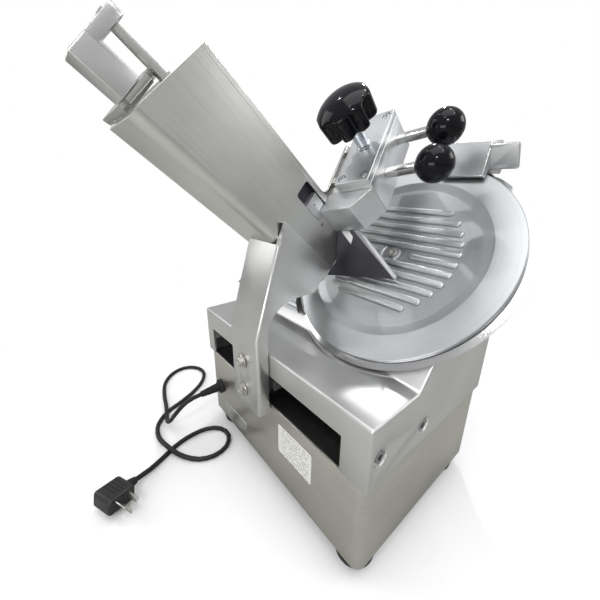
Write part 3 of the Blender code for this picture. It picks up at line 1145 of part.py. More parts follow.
def build_star_knob(clamp):
    axis = add_empty("star_knob_axis", clamp, (KNOB_A, KNOB_B, KNOB_BOTTOM_W))
    top = KNOB_HEIGHT
    bm = bmesh.new()
    rings = []
    dome_shares = ((0.0, 0.86), (0.10, 1.0), (0.42, 1.0), (0.62, 0.90), (0.82, 0.66), (0.95, 0.36))
    steps = KNOB_LOBES * 8
    stem = KNOB_STEM
    for height_share, reach_share in dome_shares:
        ring = []
        for step in range(steps):
            angle = 2 * math.pi * step / steps
            lobe = 0.5 + 0.5 * math.cos(KNOB_LOBES * angle)
            radius = (KNOB_WAIST + (KNOB_RADIUS - KNOB_WAIST) * lobe) * reach_share
            ring.append(bm.verts.new((radius * math.cos(angle), radius * math.sin(angle),
                                      stem + (top - stem) * height_share)))
        rings.append(ring)
    for lower, upper in zip(rings, rings[1:]):
        for step in range(steps):
            following = (step + 1) % steps
            bm.faces.new((lower[step], lower[following], upper[following], upper[step]))
    bm.faces.new(list(reversed(rings[0])))
    crown = bm.verts.new((0, 0, top))
    for step in range(steps):
        bm.faces.new((rings[-1][step], rings[-1][(step + 1) % steps], crown))
    knob = finish(bm, "star_knob", "black_plastic", axis)
    combine(knob, rod((0, 0, 0), KNOB_STEM + OVERRUN, KNOB_STEM_RADIUS * 3 / 4, KNOB_STEM_RADIUS, sides=24),
            "UNION")
    shoe_top = BAR_CENTRE_W + BAR_SIZE / 2 + GAP + SHOE_THICKNESS
    screw_low = shoe_top + GAP - KNOB_BOTTOM_W
    combine(knob, rod((0, 0, screw_low), KNOB_STEM - screw_low, KNOB_SCREW_RADIUS), "UNION")
    nut_low = CLAMP_TOP_W + GAP - KNOB_BOTTOM_W
    combine(knob, rod((0, 0, nut_low), KNOB_NUT, KNOB_NUT_RADIUS), "UNION")


def build_sharpener(slope):
    left, right = SHARP_LEFT, SHARP_RIGHT
    outline = [(SHARP_FRONT_V, SHARP_LOW_W), (SHARP_FRONT_V, SHARP_TOP_W), (SHARP_BACK_V, SHARP_TOP_W),
               (SHARP_BACK_V, SHARP_LEG_W), (SHARP_LEG_V, SHARP_LEG_W), (SHARP_LEG_V, SHARP_LOW_W)]
    body = prism(outline, left, right, along_x)
    outer_edges = [edge for edge in body.edges if min(vert.co.z for vert in edge.verts) > SHARP_TOP_W - GAP]
    bmesh.ops.bevel(body, geom=outer_edges, offset=SHARP_EDGE, segments=2, profile=0.5, affect="EDGES")
    body = finish(body, "sharpener_body", "painted_alloy", slope)
    wall = SHARP_WALL
    cavity_top = SHARP_TOP_W - wall
    combine(body, box((left + wall, SHARP_FRONT_V + wall, SHARP_LOW_W - OVERRUN),
                      (right - wall, SHARP_BACK_V - wall, cavity_top)))
    combine(body, box((left + wall, SHARP_LEG_V - 2 * OVERRUN, STONE_LOW_W - wall),
                      (right - wall, SHARP_BACK_V - wall, SHARP_LOW_W)))

    for name, u in (("sharpening_stone", STONE_FIRST_U), ("deburring_stone", STONE_SECOND_U)):
        centre = add_empty(name + "_axis", slope, (u, STONE_V, STONE_LOW_W))
        pin_top = cavity_top - GAP - STONE_LOW_W
        stone = turned([(0, 0), (STONE_RADIUS, 0), (STONE_RADIUS, STONE_THICKNESS),
                        (STONE_PIN_RADIUS, STONE_THICKNESS), (STONE_PIN_RADIUS, pin_top), (0, pin_top)],
                        SMALL_SIDES)
        finish(stone, name, "stone_grey", centre)

    block = soft_box((SHARP_RIGHT - SHARP_WALL / 2, SHARP_FRONT_V, SHARP_BLOCK_LOW_W),
                     (SHARP_BLOCK_RIGHT, SHARP_BLOCK_HIGH,
                     SHARP_BLOCK_TOP_W), SHARP_EDGE)
    combine(body, block, "UNION")

    back = DRUM_BACK - GAP
    bracket = finish(box((SHARP_BRACKET_LEFT, SHARP_BRACKET_LOW, back - SHARP_BRACKET_THICKNESS),
                         (SHARP_BRACKET_RIGHT, SHARP_BACK_V, back)), "sharpener_bracket", "dark_steel",
                         slope)
    seat = SHARP_LEG_W - GAP
    combine(bracket, box((SHARP_BRACKET_LEFT - OVERRUN, DRUM_RADIUS + OVERRUN, seat),
                         (SHARP_BRACKET_RIGHT + OVERRUN, SHARP_BACK_V + OVERRUN, back + OVERRUN)))


def smooth_route(count):
    """Points read at even steps along a smooth curve through the cord's route."""
    knots = [Vector(point) for point in CORD_ROUTE]
    dense = []
    for index in range(len(knots) - 1):
        before = knots[max(index - 1, 0)]
        here, there = knots[index], knots[index + 1]
        after = knots[min(index + 2, len(knots) - 1)]
        for step in range(24):
            t = step / 24
            dense.append(0.5 * (2 * here + (there - before) * t
                                + (2 * before - 5 * here + 4 * there - after) * t ** 2
                                + (3 * here - before - 3 * there + after) * t ** 3))
    dense.append(knots[-1])
    lengths = [0.0]
    for here, there in zip(dense, dense[1:]):
        lengths.append(lengths[-1] + (there - here).length)
    points = []
    index = 0
    for step in range(count):
        goal = lengths[-1] * step / (count - 1)
        while lengths[index + 1] < goal and index < len(dense) - 2:
            index += 1
        share = (goal - lengths[index]) / (lengths[index + 1] - lengths[index])
        points.append(dense[index].lerp(dense[index + 1], share))
    return points


def build_cord(root):
    wall = HOUSING_OVERHANG
    gland = turned([(0, GAP), (GLAND_FLANGE, GAP), (GLAND_FLANGE, GLAND_FLANGE_DEPTH),
                    (GLAND_ROOT, GLAND_FLANGE_DEPTH), (GLAND_TIP, GLAND_LENGTH), (0, GLAND_LENGTH)], 24)
    finish(gland, "cable_gland", "black_rubber", root, (GLAND_X, wall, GLAND_Z), (math.radians(90), 0, 0))

    points = smooth_route(CORD_POINTS)
    start = Vector((GLAND_X, wall - GLAND_LENGTH - GAP, GLAND_Z))
    points[0] = start
    curve = bpy.data.curves.new("power_cord", "CURVE")
    curve.dimensions = "3D"
    curve.bevel_depth = CORD_RADIUS
    curve.bevel_resolution = 2
    curve.use_fill_caps = True
    spline = curve.splines.new("POLY")
    spline.points.add(len(points) - 1)
    for point, place in zip(spline.points, points):
        point.co = (*place, 1)
    curve.materials.append(make_material("black_rubber"))
    cord = bpy.data.objects.new("power_cord", curve)
    cord.parent = root
    bpy.context.collection.objects.link(cord)

    end = points[-1]
    heading = (points[-1] - points[-2]).normalized()
    turn = math.atan2(heading.y, heading.x)
    pitch = math.asin(heading.z)
    plug_root = add_empty("plug_root", root, end + heading * GAP, (0, -pitch, turn))
    neck = rod((0, 0, 0), PLUG_NECK, PLUG_NECK_TIP, PLUG_NECK_ROOT, axis="X", sides=20)
    body = finish(neck, "mains_plug", "black_rubber", plug_root)
    low = (PLUG_NECK - OVERRUN / 2, -PLUG_WIDTH / 2, -PLUG_HEIGHT / 2)
    high = (PLUG_NECK + PLUG_LENGTH, PLUG_WIDTH / 2, PLUG_HEIGHT / 2)
    combine(body, soft_box(low, high, PLUG_BEVEL, 2), "UNION")
    pins = bmesh.new()
    depth = PIN_LENGTH + 2 * PIN_SINK
    middle = PLUG_NECK + PLUG_LENGTH / 2
    for along, lean, rise in ((-PIN_PITCH, -PIN_SPLAY, PIN_RISE), (PIN_PITCH, PIN_SPLAY, PIN_RISE),
                              (0, 0, -PIN_RISE)):
        pin = Matrix.Translation((middle + along, PLUG_WIDTH / 2 + PIN_LENGTH / 2, rise))
        turned_pin = pin @ Matrix.Rotation(lean, 4, "Y")
        made = bmesh.ops.create_cube(pins, size=1)["verts"]
        bmesh.ops.scale(pins, vec=(PIN_THICKNESS, depth, PIN_WIDTH), verts=made)
        bmesh.ops.transform(pins, matrix=turned_pin, verts=made)
    combine(body, pins, "UNION")


def centre_on_origin(root):
    """Put the middle of the object's footprint, cord aside, over the origin."""
    bpy.context.view_layer.update()
    depsgraph = bpy.context.evaluated_depsgraph_get()
    corners = []
    for obj in bpy.data.objects:
        if obj.type != "MESH" or obj.hide_render or obj.name in CORD_NODES:
            continue
        shape = obj.evaluated_get(depsgraph)
        corners += [obj.matrix_world @ vert.co for vert in shape.data.vertices]
    for axis in (0, 1):
        values = [corner[axis] for corner in corners]
        root.location[axis] = -(min(values) + max(values)) / 2
    bpy.context.view_layer.update()


def main():
    clear_scene()
    root = add_empty("machine_origin")
    slope = add_empty("slope_frame", root, BLADE_CENTRE, (TILT, 0, 0))
    clamp = add_empty("clamp_frame", slope, (0, 0, 0), (0, 0, CLAMP_TURN))
    bpy.context.view_layer.update()
    build_base(root)
    build_housing(root, slope)
    build_drive(root)
    build_blade(slope)
    build_gauge(root, slope)
    build_switches(root)
    build_carriage(root, slope)
    build_pusher(slope)
    build_clamp(clamp)
    build_clamp_support(slope, clamp)
    build_star_knob(clamp)
    build_sharpener(slope)
    build_cord(root)
    centre_on_origin(root)


main()
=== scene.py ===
# %% [markdown]
# # A meat slicer with a powered chute carriage
#
# A slanted round blade sits behind a ribbed cover. A carriage with a folded steel chute slides past it
# and carries the meat over the blade's edge. This lesson dresses the machine piece by piece: every piece
# is built at its real place, in metres, and gets a finish that is worked out from its own coordinates.

# %% Load the fixed frame
from math import asin, atan2, cos, pi, radians, sin, sqrt, tan

import bmesh
import bpy
from mathutils import Matrix, Vector


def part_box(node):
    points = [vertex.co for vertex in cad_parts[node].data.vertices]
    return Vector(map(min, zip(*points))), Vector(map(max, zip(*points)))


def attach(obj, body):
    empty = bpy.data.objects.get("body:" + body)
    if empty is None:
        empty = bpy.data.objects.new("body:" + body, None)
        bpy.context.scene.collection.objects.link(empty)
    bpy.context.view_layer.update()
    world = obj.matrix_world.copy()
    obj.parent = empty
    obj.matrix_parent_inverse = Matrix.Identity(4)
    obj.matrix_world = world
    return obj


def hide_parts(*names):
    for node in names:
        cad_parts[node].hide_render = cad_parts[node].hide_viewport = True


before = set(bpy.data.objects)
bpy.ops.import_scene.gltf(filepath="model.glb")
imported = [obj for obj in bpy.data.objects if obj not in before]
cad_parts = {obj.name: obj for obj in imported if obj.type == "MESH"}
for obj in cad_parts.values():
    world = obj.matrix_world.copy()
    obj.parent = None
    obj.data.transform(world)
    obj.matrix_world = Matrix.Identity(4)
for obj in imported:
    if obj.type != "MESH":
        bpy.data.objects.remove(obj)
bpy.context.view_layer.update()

# %% [markdown]
# The machine is drawn in three sets of axes. The machine frame stands on the floor. The slope frame lies on
# the blade cover's face, with x across, y up the slope and z straight off the blade. The clamp frame is the
# slope frame turned a little, because the side clamp sits askew on the chute. Writing each piece in the axes
# it follows keeps its numbers short. A matrix then carries the finished mesh to its real place.

# %% The three sets of axes
TILT = radians(49.5)
CLAMP_TURN = radians(12.0)
BLADE_CENTRE = Vector((0.0693, 0.156, 0.334))

cabinet_low, cabinet_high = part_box("base_cabinet")
origin = Vector(((cabinet_low.x + cabinet_high.x) / 2, cabinet_low.y - 0.002, 0))
MACHINE = Matrix.Translation(origin)
SLOPE = MACHINE @ Matrix.Translation(BLADE_CENTRE) @ Matrix.Rotation(TILT, 4, "X")
CLAMP = SLOPE @ Matrix.Rotation(CLAMP_TURN, 4, "Z")
print("machine origin", origin)


def slope_yz(v, w):
    """Machine y and z of a point of the slope frame."""
    y = BLADE_CENTRE.y + v * cos(TILT) - w * sin(TILT)
    z = BLADE_CENTRE.z + v * sin(TILT) + w * cos(TILT)
    return y, z


def slope_at_height(z, w):
    """How far up the slope a height is reached, at offset w."""
    return (z - BLADE_CENTRE.z - w * cos(TILT)) / sin(TILT)


# %% [markdown]
# Almost every piece of a machine starts as one of four blanks: a box, a round bar, a turned profile or a
# flat outline given a depth. Each helper below makes one blank as a bmesh, so that it can still be bevelled,
# carved or joined before it becomes an object.

# %% Blanks: box, bar and turned profile
AXIS_TURN = {
    "X": Matrix.Rotation(radians(90), 4, "Y"),
    "Y": Matrix.Rotation(radians(-90), 4, "X"),
    "Z": Matrix.Identity(4),
}


def box(low, high, bm=None):
    bm = bm or bmesh.new()
    low, high = Vector(low), Vector(high)
    verts = bmesh.ops.create_cube(bm, size=1)["verts"]
    bmesh.ops.scale(bm, vec=high - low, verts=verts)
    bmesh.ops.translate(bm, vec=(low + high) / 2, verts=verts)
    return bm


def bar(start, length, radius, end_radius=None, axis="Z", sides=48, bm=None):
    bm = bm or bmesh.new()
    place = Matrix.Translation(Vector(start)) @ AXIS_TURN[axis] @ Matrix.Translation((0, 0, length / 2))
    bmesh.ops.create_cone(bm, cap_ends=True, segments=sides, radius1=radius,
                          radius2=radius if end_radius is None else end_radius, depth=length, matrix=place)
    return bm


def turned(profile, sides=96, centre=(0, 0, 0), axis="Z"):
    """Spin a closed outline of (radius, height) points about an axis."""
    bm = bmesh.new()
    verts = [bm.verts.new((radius, 0, height)) for radius, height in profile]
    edges = [bm.edges.new((verts[i - 1], verts[i])) for i in range(len(verts))]
    bmesh.ops.spin(bm, geom=verts + edges, cent=(0, 0, 0), axis=(0, 0, 1), angle=2 * pi,
                   steps=sides, use_merge=True)
    bmesh.ops.remove_doubles(bm, verts=bm.verts, dist=1e-6)
    bmesh.ops.delete(bm, geom=[edge for edge in bm.edges if not edge.link_faces], context="EDGES")
    bmesh.ops.recalc_face_normals(bm, faces=bm.faces)
    bmesh.ops.transform(bm, matrix=Matrix.Translation(Vector(centre)) @ AXIS_TURN[axis], verts=bm.verts)
    return bm


print("blanks: box, bar, turned")


# %% [markdown]
# A sheet, a plate or a casting with one clear side view is easiest to draw as a flat outline. The outline
# becomes one face, and pushing that face along an axis gives it a depth. Round corners are short runs of
# points on a circle.

# %% Blanks from a flat outline
def outline(points, start, end, axis="Z"):
    """Give a flat outline a depth along an axis; the other two coordinates keep their order."""
    lift = {"X": lambda a, b: (start, a, b), "Y": lambda a, b: (a, start, b), "Z": lambda a, b: (a, b, start)}
    bm = bmesh.new()
    face = bm.faces.new([bm.verts.new(lift[axis](a, b)) for a, b in points])
    grown = bmesh.ops.extrude_face_region(bm, geom=[face])["geom"]
    step = {"X": (end - start, 0, 0), "Y": (0, end - start, 0), "Z": (0, 0, end - start)}[axis]
    bmesh.ops.translate(bm, vec=step, verts=[item for item in grown if isinstance(item, bmesh.types.BMVert)])
    bmesh.ops.recalc_face_normals(bm, faces=bm.faces)
    return bm


def arc(centre, radius, start, sweep, steps=6):
    """Points along part of a circle, with angles in degrees."""
    angles = [radians(start + sweep * step / steps) for step in range(steps + 1)]
    return [(centre[0] + radius * cos(a), centre[1] + radius * sin(a)) for a in angles]


def rounded_rectangle(low, high, radius, steps=6):
    (x0, y0), (x1, y1) = low, high
    corners = (((x1 - radius, y1 - radius), 0), ((x0 + radius, y1 - radius), 90),
               ((x0 + radius, y0 + radius), 180), ((x1 - radius, y0 + radius), 270))
    return [point for centre, start in corners for point in arc(centre, radius, start, 90, steps)]


print("a rounded rectangle has", len(rounded_rectangle((0, 0), (1, 1), 0.1)), "points")


# %% [markdown]
# Real edges are never razor sharp: a folded sheet, a casting and a milled block each catch a thin line of
# light along their edges. `bevel` rounds every edge that passes a test, and `soften` only those where the
# surface really turns. The two tests below pick edges by their direction or by where their ends lie.

# %% Shape tools: bevel and soften
def bevel(bm, width, segments=3, keep=lambda edge: True, clamp=False):
    """Round every edge that passes a test."""
    edges = [edge for edge in bm.edges if keep(edge)]
    bmesh.ops.bevel(bm, geom=edges, offset=width, offset_type="OFFSET", segments=segments, profile=0.5,
                    affect="EDGES", clamp_overlap=clamp, material=-1)
    return bm


def soften(bm, width, angle=30, segments=2):
    """Round only the edges where the surface really turns."""
    turn = radians(angle)
    return bevel(bm, width, segments,
                 lambda edge: len(edge.link_faces) == 2 and edge.calc_face_angle(0) > turn, clamp=True)


def runs_along(edge, axis, least=0.001):
    """Whether the two ends of an edge lie apart along an axis."""
    index = "XYZ".index(axis)
    return abs(edge.verts[0].co[index] - edge.verts[1].co[index]) > least


def both_ends(edge, test):
    """Whether a test holds at both ends of an edge."""
    return all(test(vert.co) for vert in edge.verts)


print("edge tools: bevel, soften")


# %% [markdown]
# A drilled hole, a pocket or a welded boss is a Boolean of two blanks. `carve` cuts with one tool after
# another and `join` adds them. The result is read back as a fresh bmesh, and edges that the Boolean left on
# flat faces are dissolved.

# %% Cut, join, move and gather
def as_object(bm, name):
    mesh = bpy.data.meshes.new(name)
    bm.to_mesh(mesh)
    bm.free()
    obj = bpy.data.objects.new(name, mesh)
    bpy.context.scene.collection.objects.link(obj)
    return obj


def boolean(bm, tool, operation):
    target, cutter = as_object(bm, "blank"), as_object(tool, "cutter")
    modifier = target.modifiers.new("carve", "BOOLEAN")
    modifier.operation, modifier.solver, modifier.object = operation, "EXACT", cutter
    shaped = target.evaluated_get(bpy.context.evaluated_depsgraph_get())
    result = bmesh.new()
    result.from_mesh(shaped.to_mesh())
    shaped.to_mesh_clear()
    for obj in (target, cutter):
        mesh = obj.data
        bpy.data.objects.remove(obj)
        bpy.data.meshes.remove(mesh)
    bmesh.ops.dissolve_limit(result, angle_limit=radians(0.5), verts=result.verts, edges=result.edges,
                             delimit={"NORMAL"})
    return result


def carve(bm, *tools):
    for tool in tools:
        bm = boolean(bm, tool, "DIFFERENCE")
    return bm


def join(bm, *others):
    for other in others:
        bm = boolean(bm, other, "UNION")
    return bm


def moved(bm, matrix):
    bmesh.ops.transform(bm, matrix=matrix, verts=bm.verts)
    return bm


def gather(*parts):
    """Put several meshes into one, as loose neighbours."""
    whole = bmesh.new()
    for part in parts:
        mesh = bpy.data.meshes.new("part")
        part.to_mesh(mesh)
        part.free()
        whole.from_mesh(mesh)
        bpy.data.meshes.remove(mesh)
    return whole


print("shape tools: carve, join, moved, gather")


# %% [markdown]
# A finished mesh still has to become an object of the machine. Its own axes carry it to its place, faces
# are shaded smooth up to a sharp angle, and it rides on one body of the frame, so that it moves with that
# body. What it stands for in the frame is replaced by it.

# %% Fit a piece to the machine
def fit_piece(name, bm, finish, body, replaces=(), axes=MACHINE, sharp=32):
    """Carry a mesh to its place, give it its finish and let it ride on a body of the frame."""
    bmesh.ops.transform(bm, matrix=axes, verts=bm.verts)
    obj = as_object(bm, name)
    obj.data.shade_smooth()
    obj.data.set_sharp_from_angle(angle=radians(sharp))
    obj.data.materials.append(finish)
    print(name, len(obj.data.polygons), "faces")
    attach(obj, body)
    if replaces:
        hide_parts(*replaces)
    return obj


print("pieces ride on bodies such as machine, carriage and pusher")


# %% [markdown]
# A finish is a small network of shader nodes. `Reading` wraps one socket, so that a pattern can be written as
# a sum, and the Math nodes appear by themselves. `Network` adds any node to a node tree, and `Finish` is the
# network of one material. What is the same all over a surface is set straight on the shader.

# %% Write shader maths as sums
class Reading:
    """One socket of a network, usable in sums."""

    def __init__(self, network, socket):
        self.network, self.socket = network, socket

    def maths(self, operation, first, second):
        return self.network.node("ShaderNodeMath", {"operation": operation}, {0: first, 1: second})

    def __add__(self, other):
        return self.maths("ADD", self, other)

    def __rsub__(self, other):
        return self.maths("SUBTRACT", other, self)

    def __mul__(self, other):
        return self.maths("MULTIPLY", self, other)

    __radd__ = __add__
    __rmul__ = __mul__

    def between(self, low, high):
        """0 below low, 1 above high and straight in between."""
        return self.spread(low, high, 0.0, 1.0)

    def spread(self, low, high, first, last):
        """First below low, last above high and straight in between."""
        return self.network.node("ShaderNodeMapRange", {"clamp": True},
                                 {0: self, 1: low, 2: high, 3: first, 4: last})


print("sums such as scratches * 0.5 + clouds become nodes")


# %% [markdown]
# Every material and the world have a node tree. One method adds a node to it: it sets the node's options,
# fills its inputs with values or wires, and hands back the output to go on with.

# %% A network of nodes
class Network:
    """Adds nodes to one node tree and wires them up."""

    def __init__(self, tree):
        self.tree = tree

    def node(self, kind, settings=None, inputs=None, output=0):
        made = self.tree.nodes.new(kind)
        for key, value in (settings or {}).items():
            setattr(made, key, value)
        for key, value in (inputs or {}).items():
            if isinstance(value, Reading):
                self.tree.links.new(value.socket, made.inputs[key])
            else:
                made.inputs[key].default_value = value
        return Reading(self, made.outputs[output])


print("one method adds any node")


# %% [markdown]
# All patterns are read from Object coordinates, seen from the axes that the piece follows, so that brush
# marks keep their direction on every side. A noise gives grain, clouds or scratches, and each further bump
# is laid over the one before.

# %% A finish with its patterns
class Finish(Network):
    """A material whose pattern is read from Object coordinates."""

    def __init__(self, name, color, roughness, metallic=0.0, **constants):
        self.material = bpy.data.materials.new(name)
        self.material.use_nodes = True
        super().__init__(self.material.node_tree)
        self.shader = self.tree.nodes["Principled BSDF"]
        self.set(**{"Base Color": (*color, 1), "Roughness": roughness, "Metallic": metallic})
        self.set(**{key.replace("_", " "): value for key, value in constants.items()})
        self.color = color
        self.normal = None

    def set(self, **values):
        for name, value in values.items():
            if isinstance(value, Reading):
                self.tree.links.new(value.socket, self.shader.inputs[name])
            else:
                self.shader.inputs[name].default_value = value
        return self

    def place(self, axes):
        """Object coordinates, seen from another set of axes."""
        spot = self.node("ShaderNodeTexCoord", output="Object")
        return self.node("ShaderNodeMapping", {"vector_type": "TEXTURE"},
                         {"Vector": spot, "Location": axes.to_translation(), "Rotation": axes.to_euler()})

    def noise(self, spot, stretch, detail=2.0, roughness=0.5):
        """Noise squeezed by one number, or by one number for each axis."""
        stretch = (stretch,) * 3 if isinstance(stretch, float) else stretch
        scaled = self.node("ShaderNodeVectorMath", {"operation": "MULTIPLY"}, {0: spot, 1: stretch})
        return self.node("ShaderNodeTexNoise", {}, {"Vector": scaled, "Scale": 1.0, "Detail": detail,
                                                    "Roughness": roughness}, "Fac")

    def blend(self, amount, first, second):
        inputs = {0: amount, 6: (*first, 1), 7: (*second, 1)}
        return self.node("ShaderNodeMix", {"data_type": "RGBA"}, inputs, 2)

    def tint(self, amount, dark, light):
        """Vary the base colour between a darker and a lighter shade of it."""
        return self.set(**{"Base Color": self.blend(amount, shade(self.color, dark), shade(self.color, light))})

    def bump(self, height, strength, distance):
        inputs = {"Height": height, "Strength": strength, "Distance": distance}
        if self.normal:
            inputs["Normal"] = self.normal
        self.normal = self.node("ShaderNodeBump", {}, inputs)
        self.set(Normal=self.normal)
        return self


def shade(color, factor):
    return tuple(min(1.0, part * factor) for part in color)


print("a darker grey:", shade((0.5, 0.5, 0.5), 0.8))


# %% [markdown]
# ## Brushed stainless steel
#
# The base and the chute are folded from brushed sheet. The brush leaves fine parallel scratches, so one noise
# is stretched far along the brush and squeezed across it. A second, slow noise clouds the sheet as handling
# does. Both feed the colour and the roughness a little, and the scratches also feed a very fine bump.

# %% Brushed sheet
def brushed_sheet(name, color, axes, along, roughness):
    finish = Finish(name, color, roughness, 1.0)
    spot = finish.place(axes)
    fine, broad = [2600.0] * 3, [500.0] * 3
    for axis in along:
        fine[axis], broad[axis] = 14.0, 7.0
    scratches = finish.noise(spot, fine, 3.0, 0.7)
    streaks = finish.noise(spot, broad, 2.0, 0.6)
    clouds = finish.noise(spot, 9.0, 4.0, 0.55)
    tone = scratches * 0.35 + streaks * 0.3 + clouds * 0.55
    finish.tint(tone.between(0.35, 0.85), 0.8, 1.18)
    finish.set(Roughness=clouds * 0.22 + scratches * 0.14 + (roughness - 0.18))
    return finish.bump(scratches * 0.6 + streaks * 0.4, 0.12, 0.0003).material


cabinet_steel = brushed_sheet("brushed_cabinet_steel", (0.6, 0.585, 0.545), MACHINE, (0, 1), 0.34)
chute_steel = brushed_sheet("brushed_chute_steel", (0.68, 0.68, 0.65), SLOPE, (2,), 0.34)
plate_steel = brushed_sheet("brushed_plate_steel", (0.6, 0.6, 0.59), SLOPE, (0,), 0.28)
print("three brushed sheets")
# %% [markdown]
# ## Cast aluminium with a silver coat
#
# The housing, the arm and the clamp are castings, blasted and sprayed silver. Up close the coat is slightly
# grainy with tiny bright flakes, and from afar it is even. A fine noise makes the grain and its bump, and a
# broad one keeps the large faces from looking flat.

# %% Silver coat
def silver_coat(name, color, axes, roughness, metallic):
    finish = Finish(name, color, roughness, metallic)
    spot = finish.place(axes)
    grain = finish.noise(spot, 1500.0, 2.0, 0.6)
    flakes = finish.noise(spot, 5200.0, 1.0, 0.5)
    clouds = finish.noise(spot, 14.0, 4.0, 0.6)
    tone = grain * 0.3 + flakes * 0.25 + clouds * 0.55
    finish.tint(tone.between(0.35, 0.8), 0.88, 1.1)
    finish.set(Roughness=clouds * 0.14 + flakes * 0.12 + (roughness - 0.13))
    return finish.bump(grain, 0.16, 0.0002).material


housing_coat = silver_coat("silver_housing_coat", (0.62, 0.62, 0.615), MACHINE, 0.36, 0.85)
arm_coat = silver_coat("silver_arm_coat", (0.62, 0.62, 0.61), MACHINE, 0.34, 0.9)
clamp_coat = silver_coat("satin_clamp_alloy", (0.66, 0.67, 0.68), CLAMP, 0.34, 0.9)
edge_coat = silver_coat("grey_guard_edge", (0.36, 0.36, 0.37), CLAMP, 0.42, 0.8)
# The dark guard coat also serves as painted shade in the pocket behind the chute's window.
dark_coat_and_painted_shade = silver_coat("dark_guard_coat_and_painted_shade", (0.065, 0.062, 0.075), CLAMP, 0.32, 0.85)
inner_iron = silver_coat("grey_inner_casting", (0.16, 0.16, 0.165), MACHINE, 0.5, 0.6)
motor_coat = silver_coat("grey_motor_paint", (0.11, 0.12, 0.13), MACHINE, 0.45, 0.2)
print("seven cast and sprayed coats")

# %% [markdown]
# ## Turned metal
#
# The blade and its cover are faced on a lathe, which leaves faint rings about the axis. The distance from the
# axis is the length of the coordinate in the slope frame with its height flattened away; a noise that
# reads only this distance is the same all the way round, just like tool marks.

# %% Turned rings
def turned_metal(name, color, axes, roughness, ring=2200.0, depth=0.1, metallic=1.0):
    """Metal faced on a lathe, with so many rings to the metre."""
    finish = Finish(name, color, roughness, metallic)
    spot = finish.place(axes)
    flat = finish.node("ShaderNodeVectorMath", {"operation": "MULTIPLY"}, {0: spot, 1: (1.0, 1.0, 0.0)})
    reach = finish.node("ShaderNodeVectorMath", {"operation": "LENGTH"}, {0: flat}, "Value")
    line = finish.node("ShaderNodeCombineXYZ", {}, {"X": reach})
    rings = finish.noise(line, (ring, 1.0, 1.0), 3.0, 0.7)
    bands = finish.noise(line, (ring / 9, 1.0, 1.0), 2.0, 0.6)
    clouds = finish.noise(spot, 11.0, 4.0, 0.6)
    tone = rings * 0.3 + bands * 0.3 + clouds * 0.5
    finish.tint(tone.between(0.35, 0.8), 0.86, 1.12)
    finish.set(Roughness=clouds * 0.16 + rings * 0.1 + (roughness - 0.13))
    return finish.bump(rings * 0.5 + bands * 0.5, depth, 0.0002).material


cover_alloy = turned_metal("satin_cover_alloy", (0.46, 0.475, 0.485), SLOPE, 0.36, 1800.0, 0.06, 0.95)
blade_steel = turned_metal("ground_blade_steel", (0.64, 0.64, 0.64), SLOPE, 0.2, 3000.0, 0.1)
pulley_alloy = turned_metal("turned_pulley_alloy", (0.58, 0.58, 0.57), SLOPE, 0.3)
print("three turned metals")

# %% [markdown]
# ## Plated and plain steel
#
# Bolts, bars and rods are small and bright. Crossed fine scratches and a little tarnish are enough for them.
# Zinc plating is yellower and cloudier than a ground bar, so its colour and roughness differ.

# %% Bright small steel
def bright_steel(name, color, roughness, stain=0.5):
    finish = Finish(name, color, roughness, 1.0)
    spot = finish.place(MACHINE)
    first = finish.noise(spot, (3000.0, 160.0, 1600.0), 2.0, 0.6)
    second = finish.noise(spot, (160.0, 3000.0, 900.0), 2.0, 0.6)
    tarnish = finish.noise(spot, 120.0, 4.0, 0.65)
    dull = tarnish.between(0.45, 0.75) * stain
    finish.tint(dull, 1.08, 0.62)
    finish.set(Roughness=dull * 0.22 + first * 0.06 + second * 0.06 + (roughness - 0.05))
    return finish.bump(first * 0.5 + second * 0.5, 0.06, 0.0002).material


ground_bar = bright_steel("ground_bar_steel", (0.62, 0.615, 0.59), 0.2)
zinc_bolt = bright_steel("zinc_plated_steel", (0.6, 0.585, 0.545), 0.26, 0.8)
sleeve_steel = bright_steel("blued_sleeve_steel", (0.52, 0.56, 0.6), 0.24, 0.5)
dark_bolt = bright_steel("dark_bolt_steel", (0.3, 0.3, 0.31), 0.3, 0.7)
chain_steel = bright_steel("oiled_chain_steel", (0.26, 0.25, 0.24), 0.28, 0.9)
brass_alloy = bright_steel("shoe_brass", (0.72, 0.52, 0.22), 0.28, 0.6)
print("six small metals")

# %% [markdown]
# ## Plastics, rubber, paper and stone
#
# The knobs are glossy phenolic plastic under a clear skin; here a nearly black, smooth base stands for it, with
# a slow ripple where the mould was not perfectly flat. Rubber is rougher and dusty. The blank label is paper
# with faint ruled bars. The stones are gritty all over.

# %% Plastics, rubber, paper and stone
def moulded(name, color, roughness, coat=0.0, texture=900.0, depth=0.05, gloss=0.32):
    finish = Finish(name, color, roughness, 0.0, Coat_Weight=coat, Coat_Roughness=0.06,
                    Specular_IOR_Level=gloss)
    spot = finish.place(MACHINE)
    grain = finish.noise(spot, texture, 2.0, 0.6)
    wave = finish.noise(spot, 45.0, 2.0, 0.5)
    dust = finish.noise(spot, 160.0, 5.0, 0.7).between(0.5, 0.78)
    dusty = tuple(part * 1.3 + 0.004 for part in color)
    finish.set(**{"Base Color": finish.blend(dust * 0.35, color, dusty),
                  "Roughness": dust * 0.12 + grain * 0.06 + (roughness - 0.03)})
    return finish.bump(grain * 0.5 + wave * 0.5, depth, 0.0004).material


